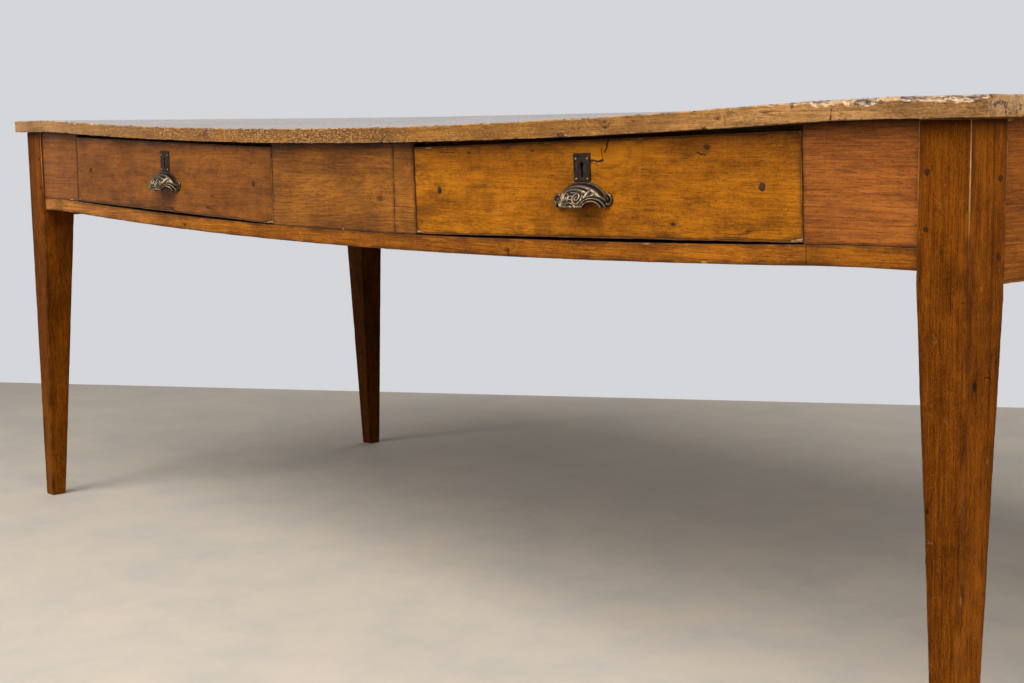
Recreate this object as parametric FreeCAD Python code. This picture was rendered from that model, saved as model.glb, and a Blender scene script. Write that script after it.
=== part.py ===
"""An old farmhouse kitchen table: a plank top on a pegged frame with tapered legs and two drawers.

Millimetres, +Z up, the front towards -Y. The origin is on the floor, under the middle of the top.
Age has let the front of the table sag: the top and the front rails dip in the middle, the back is straight.
"""

import FreeCAD, Part
import math
import os

from FreeCAD import Vector

# Table top
TOP_LENGTH = 2286.0
TOP_DEPTH = 842.0
TABLE_HEIGHT = 760.0
TOP_THICKNESS = 22.0
BOARD_COUNT = 4
BOARD_GAP = 0.4
END_OVERHANG = 30.0
SIDE_OVERHANG = 15.0
TOP_PEG_DIAMETER = 9.0
TOP_PEG_LENGTH = 60.0

# Sag of the top's front edge, and the share of the half span that dips in one hollow arc
TOP_SAG = 23.0
HOLLOW_SHARE = 0.85

# Legs, straight at the head and tapered on their two inner faces below the side aprons
LEG_HEAD = 62.0
LEG_FOOT = 28.0

# Frame
APRON_SETBACK = 3.0
APRON_THICKNESS = 22.0
APRON_DEPTH = 167.0
FRONT_DEPTH = 153.0
RAIL_HEIGHT = 23.0
RAIL_WIDTH = 56.0
TOP_RAIL_THICKNESS = 20.0
TOP_RAIL_WIDTH = 36.0
STRIP_WIDTH = 52.0
SEAM_GAP = 0.2

# Tenons and the pegs that pin them
TENON_LENGTH = 28.0
TENON_THICKNESS = 10.0
TENON_SHOULDER = 6.0
RAIL_TENON_HEIGHT = 11.0
RAIL_TENON_WIDTH = 40.0
BLOCK_TENON_WIDTH = 70.0
STRIP_TENON_WIDTH = 30.0
BLOCK_TENON_DEPTH = 11.0
PEG_DIAMETER = 8.0
PEG_LENGTH = 32.0
PEG_INSET = 11.0
PEG_PROUD = 0.4
PEG_CLEARANCE = 0.1
FRONT_PEG_DROPS = (53.0, 110.0)
APRON_PEG_DROPS = (60.0, 138.0)

# Drawer bays
END_BLOCK_WIDTH = 151.8
CENTRE_WIDTH = 384.4
FRONT_SHIFT = 1.3
FRONT_CLEARANCE = 1.5
STOP_CLEARANCE = 0.5
RUNNING_CLEARANCE = 0.3
RUNNER_WIDTH = 38.0
RUNNER_THICKNESS = 20.0
RUNNER_TENON_LENGTH = 10.0
RUNNER_TENON_THICKNESS = 8.0
RUNNER_TENON_DROP = 2.0
GUIDE_WIDTH = 16.0
GUIDE_HEIGHT = 18.0
GUIDE_CLEARANCE = 1.0
KICKER_WIDTH = 30.0
KICKER_HEIGHT = 18.0
KICKER_CLEARANCE = 2.0

# Drawers
DRAWER_FRONT_HEIGHT = 121.0
DRAWER_DEPTH = 520.0
SIDE_THICKNESS = 12.0
SIDE_HEIGHT = 96.0
BACK_THICKNESS = 12.0
BACK_DROP = 8.0
BOTTOM_THICKNESS = 7.0
BOTTOM_LIFT = 8.0
GROOVE_DEPTH = 5.0
TAIL_COUNT = 3
TAIL_LENGTH = 14.0
TAIL_ROOT_WIDTH = 14.0
TAIL_END_WIDTH = 20.0
PLUG_DIAMETER = 10.5
PLUG_INSET = 56.5
PLUG_HEIGHT = 62.5
PLUG_PROUD = 0.3

# Keyhole plate
PLATE_WIDTH = 30.0
PLATE_HEIGHT = 34.0
PLATE_THICKNESS = 1.6
PLATE_CENTRE_HEIGHT = 89.0
KEYHOLE_DIAMETER = 4.4
KEYHOLE_SLOT_WIDTH = 2.6
KEYHOLE_LENGTH = 17.5
KEYHOLE_TOP = 94.7
KEYHOLE_WOOD_MARGIN = 1.5
NAIL_DIAMETER = 1.6
NAIL_LENGTH = 11.0
NAIL_HEAD_DIAMETER = 3.4
NAIL_HEAD_HEIGHT = 0.9
NAIL_SIDE_INSET = 4.6
NAIL_TOP_INSET = 6.8
NAIL_LOW_INSET = 2.4

# Cup pull
PULL_PLATE_GAP = 1.0
PULL_HALF_WIDTH = 45.0
PULL_HEIGHT = 28.0
PULL_DEPTH = 24.0
PULL_WALL = 2.5
RIM_WIDTH = 3.5
RIM_THICKNESS = 2.0
EAR_DIAMETER = 16.0
EAR_SPACING = 92.0
EAR_LIFT = 9.5
LIP_ARCH_RADIUS = 9.5
LIP_ARCH_RISE = 6.5
LIP_ARCH_SPACING = 60.0
PULL_SCREW_DIAMETER = 3.0
PULL_SCREW_LENGTH = 14.0
PULL_SCREW_HEAD_DIAMETER = 6.0
PULL_SCREW_HEAD_HEIGHT = 1.6

# Drawer lock, screwed to the back of the drawer front
LOCK_PLATE_WIDTH = 64.0
LOCK_HEIGHT = 42.0
LOCK_TOP = 103.0
LOCK_PLATE_THICKNESS = 1.5
LOCK_CASE_WIDTH = 52.0
LOCK_CASE_DEPTH = 10.0
LOCK_WALL = 1.5
BOLT_WIDTH = 24.0
BOLT_HEIGHT = 33.0
BOLT_THICKNESS = 4.0
BOLT_TRAVEL = 8.0
BOLT_CLEARANCE = 0.3
BOLT_WINDOW_WIDTH = 11.0
BOLT_BRIDGE = 5.5
BOLT_FOOT = 11.0
STRIKE_MARGIN = 1.0
KEY_PIN_DIAMETER = 3.0
LOCK_SCREW_DIAMETER = 2.5
LOCK_SCREW_LENGTH = 11.0
LOCK_SCREW_HEAD_DIAMETER = 5.0
LOCK_SCREW_HEAD_HEIGHT = 1.2
LOCK_SCREW_INSET = 3.0
SCREW_CLEARANCE = 0.05

# Places worked out from the sizes above
UNDERSIDE = TABLE_HEIGHT - TOP_THICKNESS
TOP_FRONT = -TOP_DEPTH / 2
TOP_BACK = TOP_DEPTH / 2
LEG_OUTER_X = TOP_LENGTH / 2 - END_OVERHANG
LEG_OUTER_Y = TOP_DEPTH / 2 - SIDE_OVERHANG
LEG_INNER_X = LEG_OUTER_X - LEG_HEAD
LEG_INNER_Y = LEG_OUTER_Y - LEG_HEAD
FRONT_FACE = -LEG_OUTER_Y + APRON_SETBACK
FRONT_BACK_FACE = FRONT_FACE + APRON_THICKNESS
BACK_APRON_INNER = LEG_OUTER_Y - APRON_SETBACK - APRON_THICKNESS
APRON_BOTTOM = UNDERSIDE - APRON_DEPTH
RAIL_BOTTOM = UNDERSIDE - FRONT_DEPTH
RAIL_TOP = RAIL_BOTTOM + RAIL_HEIGHT
RAIL_BACK = FRONT_FACE + RAIL_WIDTH
TOP_RAIL_BACK = FRONT_BACK_FACE + TOP_RAIL_WIDTH
OPENING_INNER = CENTRE_WIDTH / 2
OPENING_OUTER = LEG_INNER_X - END_BLOCK_WIDTH
OPENING_WIDTH = OPENING_OUTER - OPENING_INNER
BAY_CENTRE = OPENING_INNER + OPENING_WIDTH / 2
DRAWER_WIDTH = OPENING_WIDTH - 2 * FRONT_CLEARANCE
DRAWER_FRONT_BACK = FRONT_BACK_FACE - STOP_CLEARANCE
DRAWER_REAR = FRONT_FACE + DRAWER_DEPTH
PULL_BASE_HEIGHT = PLATE_CENTRE_HEIGHT - PLATE_HEIGHT / 2 - PULL_PLATE_GAP - RIM_WIDTH - PULL_HEIGHT
SIDES = (("left", -1), ("right", 1))


def box(x0, x1, y0, y1, z0, z1):
    """A box between two corners, whichever way round each pair is given."""
    low = Vector(min(x0, x1), min(y0, y1), min(z0, z1))
    return Part.makeBox(abs(x1 - x0), abs(y1 - y0), abs(z1 - z0), low)


def rod(diameter, length, start, direction):
    """A round rod from a start point."""
    return Part.makeCylinder(diameter / 2, length, Vector(*start), Vector(*direction))


def fuse(shapes):
    """One clean solid from several that touch or overlap."""
    return shapes[0].multiFuse(shapes[1:]).removeSplitter()


def group(shapes):
    """Several separate solids kept as one piece."""
    return Part.makeCompound([solid for shape in shapes for solid in shape.Solids])


# Sag of the table

def sag_depth(y):
    """The sag of the table's middle at one y: full at the front edge of the top and none at its back."""
    return TOP_SAG * (TOP_BACK - y) / TOP_DEPTH


def sag_arcs(depth):
    """The radii of the hollow middle arc and of the rounded end arcs, and the x where they meet."""
    meet = HOLLOW_SHARE * LEG_INNER_X
    angle = 2 * math.atan(depth / LEG_INNER_X)
    return meet / math.sin(angle), (LEG_INNER_X - meet) / math.sin(angle), meet


def sag_at(x, depth):
    """How far a long member that dips by depth in its middle hangs at x."""
    if depth < 1e-6 or abs(x) >= LEG_INNER_X:
        return 0.0
    hollow, end, meet = sag_arcs(depth)
    if abs(x) <= meet:
        return depth - hollow + math.sqrt(hollow ** 2 - x ** 2)
    return end - math.sqrt(end ** 2 - (LEG_INNER_X - abs(x)) ** 2)


def sag_edges(length, y, z, depth):
    """The edges of one sagging line along X: level ends, rounded shoulders and a hollow middle."""
    meet = HOLLOW_SHARE * LEG_INNER_X
    stops = [-length / 2, -LEG_INNER_X, -meet, meet, LEG_INNER_X, length / 2]
    points = [Vector(x, y, z - sag_at(x, depth)) for x in stops]
    edges = []
    for start, end in zip(points, points[1:]):
        middle_x = (start.x + end.x) / 2
        middle = Vector(middle_x, y, z - sag_at(middle_x, depth))
        if depth < 1e-6 or abs(middle_x) > LEG_INNER_X:
            edges.append(Part.LineSegment(start, end).toShape())
        else:
            edges.append(Part.Arc(start, middle, end).toShape())
    return edges


def sag_profile(length, y, z0, z1, depth):
    """The closed outline of a sagging board at one y."""
    lower = sag_edges(length, y, z0, depth)
    upper = sag_edges(length, y, z1, depth)
    low_ends = (lower[0].Vertexes[0].Point, lower[-1].Vertexes[-1].Point)
    high_ends = (upper[0].Vertexes[0].Point, upper[-1].Vertexes[-1].Point)
    right_end = Part.LineSegment(low_ends[1], high_ends[1]).toShape()
    left_end = Part.LineSegment(high_ends[0], low_ends[0]).toShape()
    return Part.Wire(lower + [right_end] + upper[::-1] + [left_end])


def sagging_member(x0, x1, y0, y1, z0, z1):
    """A member of one section that hangs with the front of the table at y0, cut to length at x0 and x1."""
    profile = sag_profile(TOP_LENGTH, y0, z0, z1, sag_depth(y0))
    whole = Part.Face(profile).extrude(Vector(0, y1 - y0, 0))
    return whole.common(box(x0, x1, y0, y1, z0 - 2 * TOP_SAG, z1 + TOP_SAG))


# Drawer bays: each stands square in its own frame, tilted to the sag between its two ends

class Bay:
    """The frame of one drawer: x along the drawer, z up from the runners, tilted with the sagging rail."""

    def __init__(self, name, side):
        self.name = name
        depth = sag_depth(FRONT_FACE)
        ends = (side * OPENING_INNER + FRONT_SHIFT, side * OPENING_OUTER + FRONT_SHIFT)
        inner, outer = (RAIL_TOP - sag_at(x, depth) for x in ends)
        tilt = -side * math.degrees(math.atan2(outer - inner, OPENING_WIDTH))
        origin = Vector(side * BAY_CENTRE + FRONT_SHIFT, 0, (inner + outer) / 2)
        self.frame = FreeCAD.Placement(origin, FreeCAD.Rotation(Vector(0, 1, 0), tilt))

    def place(self, shape):
        """The shape moved from the bay's frame to the table's."""
        placed = shape.copy()
        placed.Placement = self.frame.multiply(placed.Placement)
        return placed

    def opening(self):
        """The hole in the front of the table that this drawer fills."""
        half = OPENING_WIDTH / 2
        return self.place(box(-half, half, TOP_FRONT, 0, -TOP_SAG, APRON_DEPTH))


BAYS = [Bay(name, side) for name, side in SIDES]


# Legs

def leg_blank(side_x, side_y):
    """A square leg head over a foot that tapers on the two faces towards the middle of the table."""
    x, y = side_x * LEG_OUTER_X, side_y * LEG_OUTER_Y
    head = box(x, x - side_x * LEG_HEAD, y, y - side_y * LEG_HEAD, APRON_BOTTOM, UNDERSIDE)

    def square(width, z):
        inner_x, inner_y = x - side_x * width, y - side_y * width
        corners = [Vector(x, y, z), Vector(inner_x, y, z), Vector(inner_x, inner_y, z), Vector(x, inner_y, z)]
        return Part.makePolygon(corners + corners[:1])

    shank = Part.makeLoft([square(LEG_FOOT, 0), square(LEG_HEAD, APRON_BOTTOM)], True, True)
    return fuse([head, shank])


# Aprons and rails

def long_tenons(y0, y1, z0, z1):
    """A tenon on each end of a member that runs along X between two legs."""
    reach = LEG_INNER_X + TENON_LENGTH
    return [box(s * LEG_INNER_X, s * reach, y0, y1, z0, z1) for s in (-1, 1)]


def side_apron(side):
    """The board under one end of the top, tenoned into the front and rear legs."""
    outer = side * (LEG_OUTER_X - APRON_SETBACK)
    inner = outer - side * APRON_THICKNESS
    board = box(outer, inner, -LEG_INNER_Y, LEG_INNER_Y, APRON_BOTTOM, UNDERSIDE)
    cheek = (APRON_THICKNESS - TENON_THICKNESS) / 2
    tenon_x = (outer - side * cheek, inner + side * cheek)
    tenon_z = (APRON_BOTTOM + TENON_SHOULDER, UNDERSIDE - TENON_SHOULDER)
    reach = LEG_INNER_Y + TENON_LENGTH
    tenons = [box(*tenon_x, s * LEG_INNER_Y, s * reach, *tenon_z) for s in (-1, 1)]
    return fuse([board] + tenons)


def back_apron():
    """The board along the back, tenoned into the rear legs."""
    outer = BACK_APRON_INNER + APRON_THICKNESS
    board = sagging_member(-LEG_INNER_X, LEG_INNER_X, BACK_APRON_INNER, outer, APRON_BOTTOM, UNDERSIDE)
    cheek = (APRON_THICKNESS - TENON_THICKNESS) / 2
    tenon_z = (APRON_BOTTOM + TENON_SHOULDER, UNDERSIDE - TENON_SHOULDER)
    return fuse([board] + long_tenons(BACK_APRON_INNER + cheek, outer - cheek, *tenon_z))


def front_rail():
    """The flat rail under the drawers, tenoned into the front legs."""
    board = sagging_member(-LEG_INNER_X, LEG_INNER_X, FRONT_FACE, RAIL_BACK, RAIL_BOTTOM, RAIL_TOP)
    middle_y = (FRONT_FACE + RAIL_BACK) / 2
    middle_z = (RAIL_BOTTOM + RAIL_TOP) / 2
    tenon_y = (middle_y - RAIL_TENON_WIDTH / 2, middle_y + RAIL_TENON_WIDTH / 2)
    tenon_z = (middle_z - RAIL_TENON_HEIGHT / 2, middle_z + RAIL_TENON_HEIGHT / 2)
    return fuse([board] + long_tenons(*tenon_y, *tenon_z))


def top_rail():
    """The rail behind the drawer fronts that ties the front legs; its ends lap into the leg heads."""
    low = UNDERSIDE - TOP_RAIL_THICKNESS
    board = sagging_member(-LEG_INNER_X, LEG_INNER_X, FRONT_BACK_FACE, TOP_RAIL_BACK, low, UNDERSIDE)
    rail = fuse([board] + long_tenons(FRONT_BACK_FACE, TOP_RAIL_BACK, low, UNDERSIDE))
    half = BOLT_WIDTH / 2 + STRIKE_MARGIN
    bolt_front, bolt_back = bolt_depths()
    for bay in BAYS:
        top = LOCK_TOP + BOLT_TRAVEL + STRIKE_MARGIN
        strike = box(-half, half, bolt_front - STRIKE_MARGIN, bolt_back + STRIKE_MARGIN, SIDE_HEIGHT, top)
        rail = rail.cut(bay.place(strike))
    return rail


def front_block(x0, x1, tenon_x, tenon_width, leg_side=0):
    """A block between the drawers or beside a leg, standing on the front rail with a stub tenon."""
    board = sagging_member(x0, x1, FRONT_FACE, FRONT_BACK_FACE, RAIL_TOP + SEAM_GAP, UNDERSIDE)
    for bay in BAYS:
        board = board.cut(bay.opening())
    cheek = (APRON_THICKNESS - TENON_THICKNESS) / 2
    tenon_y = (FRONT_FACE + cheek, FRONT_BACK_FACE - cheek)
    half = tenon_width / 2
    seat = RAIL_TOP - sag_at(tenon_x, sag_depth(FRONT_FACE))
    stub = box(tenon_x - half, tenon_x + half, *tenon_y, seat - BLOCK_TENON_DEPTH, seat + TENON_SHOULDER)
    pieces = [board, stub]
    if leg_side:
        reach = LEG_INNER_X + TENON_LENGTH
        tenon_z = (RAIL_TOP + TENON_SHOULDER, UNDERSIDE - TENON_SHOULDER)
        pieces.append(box(leg_side * LEG_INNER_X, leg_side * reach, *tenon_y, *tenon_z))
    return fuse(pieces)


def front_blocks():
    """The two end blocks, the wide centre block and the narrow strip set in beside the right drawer."""
    (left_outer, left_inner), (right_inner, right_outer) = (
        [x + FRONT_SHIFT for x in edges]
        for edges in ((-OPENING_OUTER, -OPENING_INNER), (OPENING_INNER, OPENING_OUTER)))
    strip_left = right_inner - STRIP_WIDTH
    strip_middle = right_inner - STRIP_WIDTH / 2
    left_middle = (left_outer - LEG_INNER_X) / 2
    right_middle = (right_outer + LEG_INNER_X) / 2
    spare = STRIP_WIDTH / 2
    wide, narrow = BLOCK_TENON_WIDTH, STRIP_TENON_WIDTH
    return {
        "left_end_block": front_block(-LEG_INNER_X, left_outer + spare, left_middle, wide, -1),
        "right_end_block": front_block(right_outer - spare, LEG_INNER_X, right_middle, wide, 1),
        "centre_block": front_block(left_inner - spare, strip_left - SEAM_GAP, 0.0, wide),
        "centre_strip": front_block(strip_left, right_inner + spare, strip_middle, narrow),
    }


# Pegs through the leg mortises

def joint_pegs(diameter):
    """Two pegs through each tenon, driven from the outer faces of the legs."""
    pegs = []
    front_x = LEG_INNER_X + PEG_INSET
    side_y = LEG_INNER_Y + PEG_INSET
    outer_x = LEG_OUTER_X + PEG_PROUD
    outer_y = LEG_OUTER_Y + PEG_PROUD
    for side_x in (-1, 1):
        for side_y_sign, drops in ((-1, FRONT_PEG_DROPS), (1, APRON_PEG_DROPS)):
            for drop in drops:
                start = (side_x * front_x, side_y_sign * outer_y, UNDERSIDE - drop)
                pegs.append(rod(diameter, PEG_LENGTH, start, (0, -side_y_sign, 0)))
            for drop in APRON_PEG_DROPS:
                start = (side_x * outer_x, side_y_sign * side_y, UNDERSIDE - drop)
                pegs.append(rod(diameter, PEG_LENGTH, start, (-side_x, 0, 0)))
    return pegs


# Table top

def board_edges():
    """The front and back of each top board, with an open seam between neighbours."""
    pitch = TOP_DEPTH / BOARD_COUNT
    for number in range(BOARD_COUNT):
        front = TOP_FRONT + number * pitch + (BOARD_GAP / 2 if number else 0)
        back = TOP_FRONT + (number + 1) * pitch - (BOARD_GAP / 2 if number + 1 < BOARD_COUNT else 0)
        yield front, back


def top_board(front, back):
    """One plank of the top, twisted from the sag at its front edge to the smaller sag at its back edge."""
    outlines = [sag_profile(TOP_LENGTH, y, UNDERSIDE, TABLE_HEIGHT, sag_depth(y)) for y in (front, back)]
    return Part.makeLoft(outlines, True, True)


def top_pegs(diameter):
    """A peg through each end of each plank into the side apron below."""
    x = LEG_OUTER_X - APRON_SETBACK - APRON_THICKNESS / 2
    pegs = []
    for front, back in board_edges():
        for side in (-1, 1):
            start = (side * x, (front + back) / 2, TABLE_HEIGHT - TOP_PEG_LENGTH)
            pegs.append(rod(diameter, TOP_PEG_LENGTH, start, (0, 0, 1)))
    return pegs


# Runners, guides and kickers that carry one drawer, in the bay's frame

def runner(side):
    """The bearer under one drawer side, with stub tenons into the front rail and the back apron."""
    outer = side * (OPENING_WIDTH / 2 + GUIDE_WIDTH)
    inner = outer - side * RUNNER_WIDTH
    bar = box(outer, inner, RAIL_BACK, BACK_APRON_INNER, -RUNNER_THICKNESS, 0)
    tenon_z = (-RUNNER_TENON_DROP - RUNNER_TENON_THICKNESS, -RUNNER_TENON_DROP)
    quarter = side * RUNNER_WIDTH / 4
    tenon_y = (RAIL_BACK - RUNNER_TENON_LENGTH, BACK_APRON_INNER + RUNNER_TENON_LENGTH)
    tenon = box(outer - quarter, inner + quarter, *tenon_y, *tenon_z)
    return fuse([bar, tenon])


def guides():
    """The two strips on the runners that keep the drawer straight."""
    near = DRAWER_WIDTH / 2 + GUIDE_CLEARANCE
    far = OPENING_WIDTH / 2 + GUIDE_WIDTH
    return [box(s * near, s * far, RAIL_BACK, BACK_APRON_INNER, 0, GUIDE_HEIGHT) for s in (-1, 1)]


def kickers():
    """The two strips above the drawer sides that stop the drawer tipping when it is pulled out."""
    outer = DRAWER_WIDTH / 2 + GUIDE_CLEARANCE
    low = SIDE_HEIGHT + KICKER_CLEARANCE
    span_y = (TOP_RAIL_BACK, BACK_APRON_INNER)
    return [box(s * outer, s * (outer - KICKER_WIDTH), *span_y, low, low + KICKER_HEIGHT) for s in (-1, 1)]


# Drawer box, in the bay's frame

def drawer_side(side):
    """One drawer side, with dovetails at its front end."""
    outer = side * DRAWER_WIDTH / 2
    inner = outer - side * SIDE_THICKNESS
    pieces = [box(outer, inner, DRAWER_FRONT_BACK, DRAWER_REAR, RUNNING_CLEARANCE, SIDE_HEIGHT)]
    pitch = SIDE_HEIGHT / TAIL_COUNT
    tip = DRAWER_FRONT_BACK - TAIL_LENGTH
    for number in range(TAIL_COUNT):
        centre = (number + 0.5) * pitch
        root, end = TAIL_ROOT_WIDTH / 2, TAIL_END_WIDTH / 2
        corners = [
            Vector(outer, DRAWER_FRONT_BACK, centre - root),
            Vector(outer, DRAWER_FRONT_BACK, centre + root),
            Vector(outer, tip, centre + end),
            Vector(outer, tip, centre - end),
        ]
        tail = Part.Face(Part.makePolygon(corners + corners[:1]))
        pieces.append(tail.extrude(Vector(inner - outer, 0, 0)))
    return fuse(pieces)


def drawer_bottom():
    """The bottom panel, let into grooves in the front and sides and running under the back."""
    half = DRAWER_WIDTH / 2 - SIDE_THICKNESS + GROOVE_DEPTH
    front = DRAWER_FRONT_BACK - GROOVE_DEPTH
    return box(-half, half, front, DRAWER_REAR, BOTTOM_LIFT, BOTTOM_LIFT + BOTTOM_THICKNESS)


def drawer_back():
    """The back board, housed in the sides above the bottom panel."""
    half = DRAWER_WIDTH / 2 - SIDE_THICKNESS + GROOVE_DEPTH
    low = BOTTOM_LIFT + BOTTOM_THICKNESS
    rear = DRAWER_REAR - BACK_THICKNESS
    return box(-half, half, rear - BACK_THICKNESS, rear, low, SIDE_HEIGHT - BACK_DROP)


def plugs(diameter):
    """The two plugs that fill the holes of earlier knobs."""
    length = DRAWER_FRONT_BACK - FRONT_FACE + PLUG_PROUD
    x = DRAWER_WIDTH / 2 - PLUG_INSET
    starts = [(s * x, FRONT_FACE - PLUG_PROUD, PLUG_HEIGHT) for s in (-1, 1)]
    return [rod(diameter, length, start, (0, 1, 0)) for start in starts]


def keyhole(y0, y1, margin):
    """The space of a keyhole: a round hole over a narrow slot, larger by a margin."""
    radius = KEYHOLE_DIAMETER / 2
    round_z = KEYHOLE_TOP - radius
    hole = rod(KEYHOLE_DIAMETER + 2 * margin, y1 - y0, (0, y0, round_z), (0, 1, 0))
    half = KEYHOLE_SLOT_WIDTH / 2 + margin
    slot = box(-half, half, y0, y1, KEYHOLE_TOP - KEYHOLE_LENGTH - margin, round_z)
    return fuse([hole, slot])


# Keyhole plate and its nails, in the bay's frame

def keyhole_plate():
    """The flat iron plate round the keyhole."""
    half = PLATE_WIDTH / 2
    low = PLATE_CENTRE_HEIGHT - PLATE_HEIGHT / 2
    plate = box(-half, half, FRONT_FACE - PLATE_THICKNESS, FRONT_FACE, low, low + PLATE_HEIGHT)
    return plate.cut(keyhole(FRONT_FACE - 2 * PLATE_THICKNESS, FRONT_FACE, 0))


def headed_pins(places, face, shank, clearance, length, head, head_height):
    """Nails or screws driven along +Y: a low round head standing on a face over a plain shank."""
    pins = []
    for x, z in places:
        stem = rod(shank + 2 * clearance, length, (x, face, z), (0, 1, 0))
        cap = rod(head, head_height, (x, face, z), (0, -1, 0))
        pins.append(fuse([stem, cap]))
    return pins


def plate_nails(clearance=0.0):
    """Four nails near the corners of the keyhole plate."""
    x = PLATE_WIDTH / 2 - NAIL_SIDE_INSET
    rows = (PLATE_HEIGHT / 2 - NAIL_TOP_INSET, NAIL_LOW_INSET - PLATE_HEIGHT / 2)
    places = [(i * x, PLATE_CENTRE_HEIGHT + row) for i in (-1, 1) for row in rows]
    face = FRONT_FACE - PLATE_THICKNESS
    head = (NAIL_HEAD_DIAMETER, NAIL_HEAD_HEIGHT)
    return headed_pins(places, face, NAIL_DIAMETER, clearance, NAIL_LENGTH, *head)


# Cup pull and its screws, in the bay's frame

def half_oval(half_width, height, y):
    """The flat upper half of an oval that stands on the pull's base line at one y."""
    centre = Vector(0, y, PULL_BASE_HEIGHT)
    oval = Part.Ellipse(centre + Vector(half_width, 0, 0), centre + Vector(0, 0, height), centre)
    arch = Part.ArcOfEllipse(oval, 0, math.pi).toShape()
    base = Part.LineSegment(centre - Vector(half_width, 0, 0), centre + Vector(half_width, 0, 0)).toShape()
    return Part.Face(Part.Wire([arch, base]))


def cup(half_width, depth, height):
    """The swelling of the pull: an oval turned about a line behind the drawer's face."""
    radius = (depth ** 2 + height ** 2) / (2 * depth)
    behind = radius - depth
    axis = FRONT_FACE + behind
    section = half_oval(half_width / math.sqrt(1 - (behind / radius) ** 2), radius, axis)
    swelling = section.revolve(Vector(0, axis, PULL_BASE_HEIGHT), Vector(1, 0, 0), 90)
    reach = 2 * half_width
    front = box(-reach, reach, FRONT_FACE - reach, FRONT_FACE, PULL_BASE_HEIGHT, PULL_BASE_HEIGHT + reach)
    return swelling.common(front)


def ear_places():
    """The centres of the two screw ears."""
    return [(s * EAR_SPACING / 2, PULL_BASE_HEIGHT + EAR_LIFT) for s in (-1, 1)]


def cup_pull():
    """A cast cup pull: a thin half dome open below, two arches in its lip, a flat rim and a screw ear at each end."""
    rim = half_oval(PULL_HALF_WIDTH + RIM_WIDTH, PULL_HEIGHT + RIM_WIDTH, FRONT_FACE)
    pieces = [cup(PULL_HALF_WIDTH, PULL_DEPTH, PULL_HEIGHT), rim.extrude(Vector(0, -RIM_THICKNESS, 0))]
    for x, z in ear_places():
        pieces.append(rod(EAR_DIAMETER, RIM_THICKNESS, (x, FRONT_FACE, z), (0, -1, 0)))
    hollow = cup(PULL_HALF_WIDTH - PULL_WALL, PULL_DEPTH - PULL_WALL, PULL_HEIGHT - PULL_WALL)
    pull = fuse(pieces).cut(hollow)
    for s in (-1, 1):
        arch_centre = (s * LIP_ARCH_SPACING / 2, FRONT_FACE, PULL_BASE_HEIGHT + LIP_ARCH_RISE - LIP_ARCH_RADIUS)
        pull = pull.cut(rod(2 * LIP_ARCH_RADIUS, 2 * PULL_DEPTH, arch_centre, (0, -1, 0)))
    for screw in pull_screws(SCREW_CLEARANCE):
        pull = pull.cut(screw)
    return pull


def pull_screws(clearance=0.0):
    """A round headed screw through each ear of the pull."""
    face = FRONT_FACE - RIM_THICKNESS
    head = (PULL_SCREW_HEAD_DIAMETER, PULL_SCREW_HEAD_HEIGHT)
    return headed_pins(ear_places(), face, PULL_SCREW_DIAMETER, clearance, PULL_SCREW_LENGTH, *head)


# Lock, in the bay's frame

def bolt_depths():
    """The front and back of the lock bolt, in the middle of the lock case."""
    middle = DRAWER_FRONT_BACK + LOCK_PLATE_THICKNESS + (LOCK_CASE_DEPTH - LOCK_WALL) / 2
    return middle - BOLT_THICKNESS / 2, middle + BOLT_THICKNESS / 2


def lock_plate():
    """The plate that is screwed to the back of the drawer front."""
    half = LOCK_PLATE_WIDTH / 2
    back = DRAWER_FRONT_BACK + LOCK_PLATE_THICKNESS
    plate = box(-half, half, DRAWER_FRONT_BACK, back, LOCK_TOP - LOCK_HEIGHT, LOCK_TOP)
    return plate.cut(keyhole(DRAWER_FRONT_BACK, back, 0))


def lock_case():
    """The box over the bolt, slotted on top, with the key's pin riveted to its back wall."""
    half = LOCK_CASE_WIDTH / 2
    front = DRAWER_FRONT_BACK + LOCK_PLATE_THICKNESS
    back = front + LOCK_CASE_DEPTH
    low = LOCK_TOP - LOCK_HEIGHT
    case = box(-half, half, front, back, low, LOCK_TOP)
    inside = (low + LOCK_WALL, LOCK_TOP - LOCK_WALL)
    case = case.cut(box(-half + LOCK_WALL, half - LOCK_WALL, front, back - LOCK_WALL, *inside))
    bolt_front, bolt_back = bolt_depths()
    slot = BOLT_WIDTH / 2 + BOLT_CLEARANCE
    slot_y = (bolt_front - BOLT_CLEARANCE, bolt_back + BOLT_CLEARANCE)
    case = case.cut(box(-slot, slot, *slot_y, inside[1], LOCK_TOP))
    pin_z = KEYHOLE_TOP - KEYHOLE_DIAMETER / 2
    pin_length = back - LOCK_WALL - DRAWER_FRONT_BACK
    pin = rod(KEY_PIN_DIAMETER, pin_length, (0, DRAWER_FRONT_BACK, pin_z), (0, 1, 0))
    return fuse([case, pin])


def lock_bolt():
    """The sliding bolt, drawn in: a flat bar with a window for the key and its pin."""
    front, back = bolt_depths()
    half = BOLT_WIDTH / 2
    bar = box(-half, half, front, back, LOCK_TOP - BOLT_HEIGHT, LOCK_TOP)
    window_half = BOLT_WINDOW_WIDTH / 2
    window_z = (LOCK_TOP - BOLT_HEIGHT + BOLT_FOOT, LOCK_TOP - BOLT_BRIDGE)
    return bar.cut(box(-window_half, window_half, front, back, *window_z))


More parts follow.
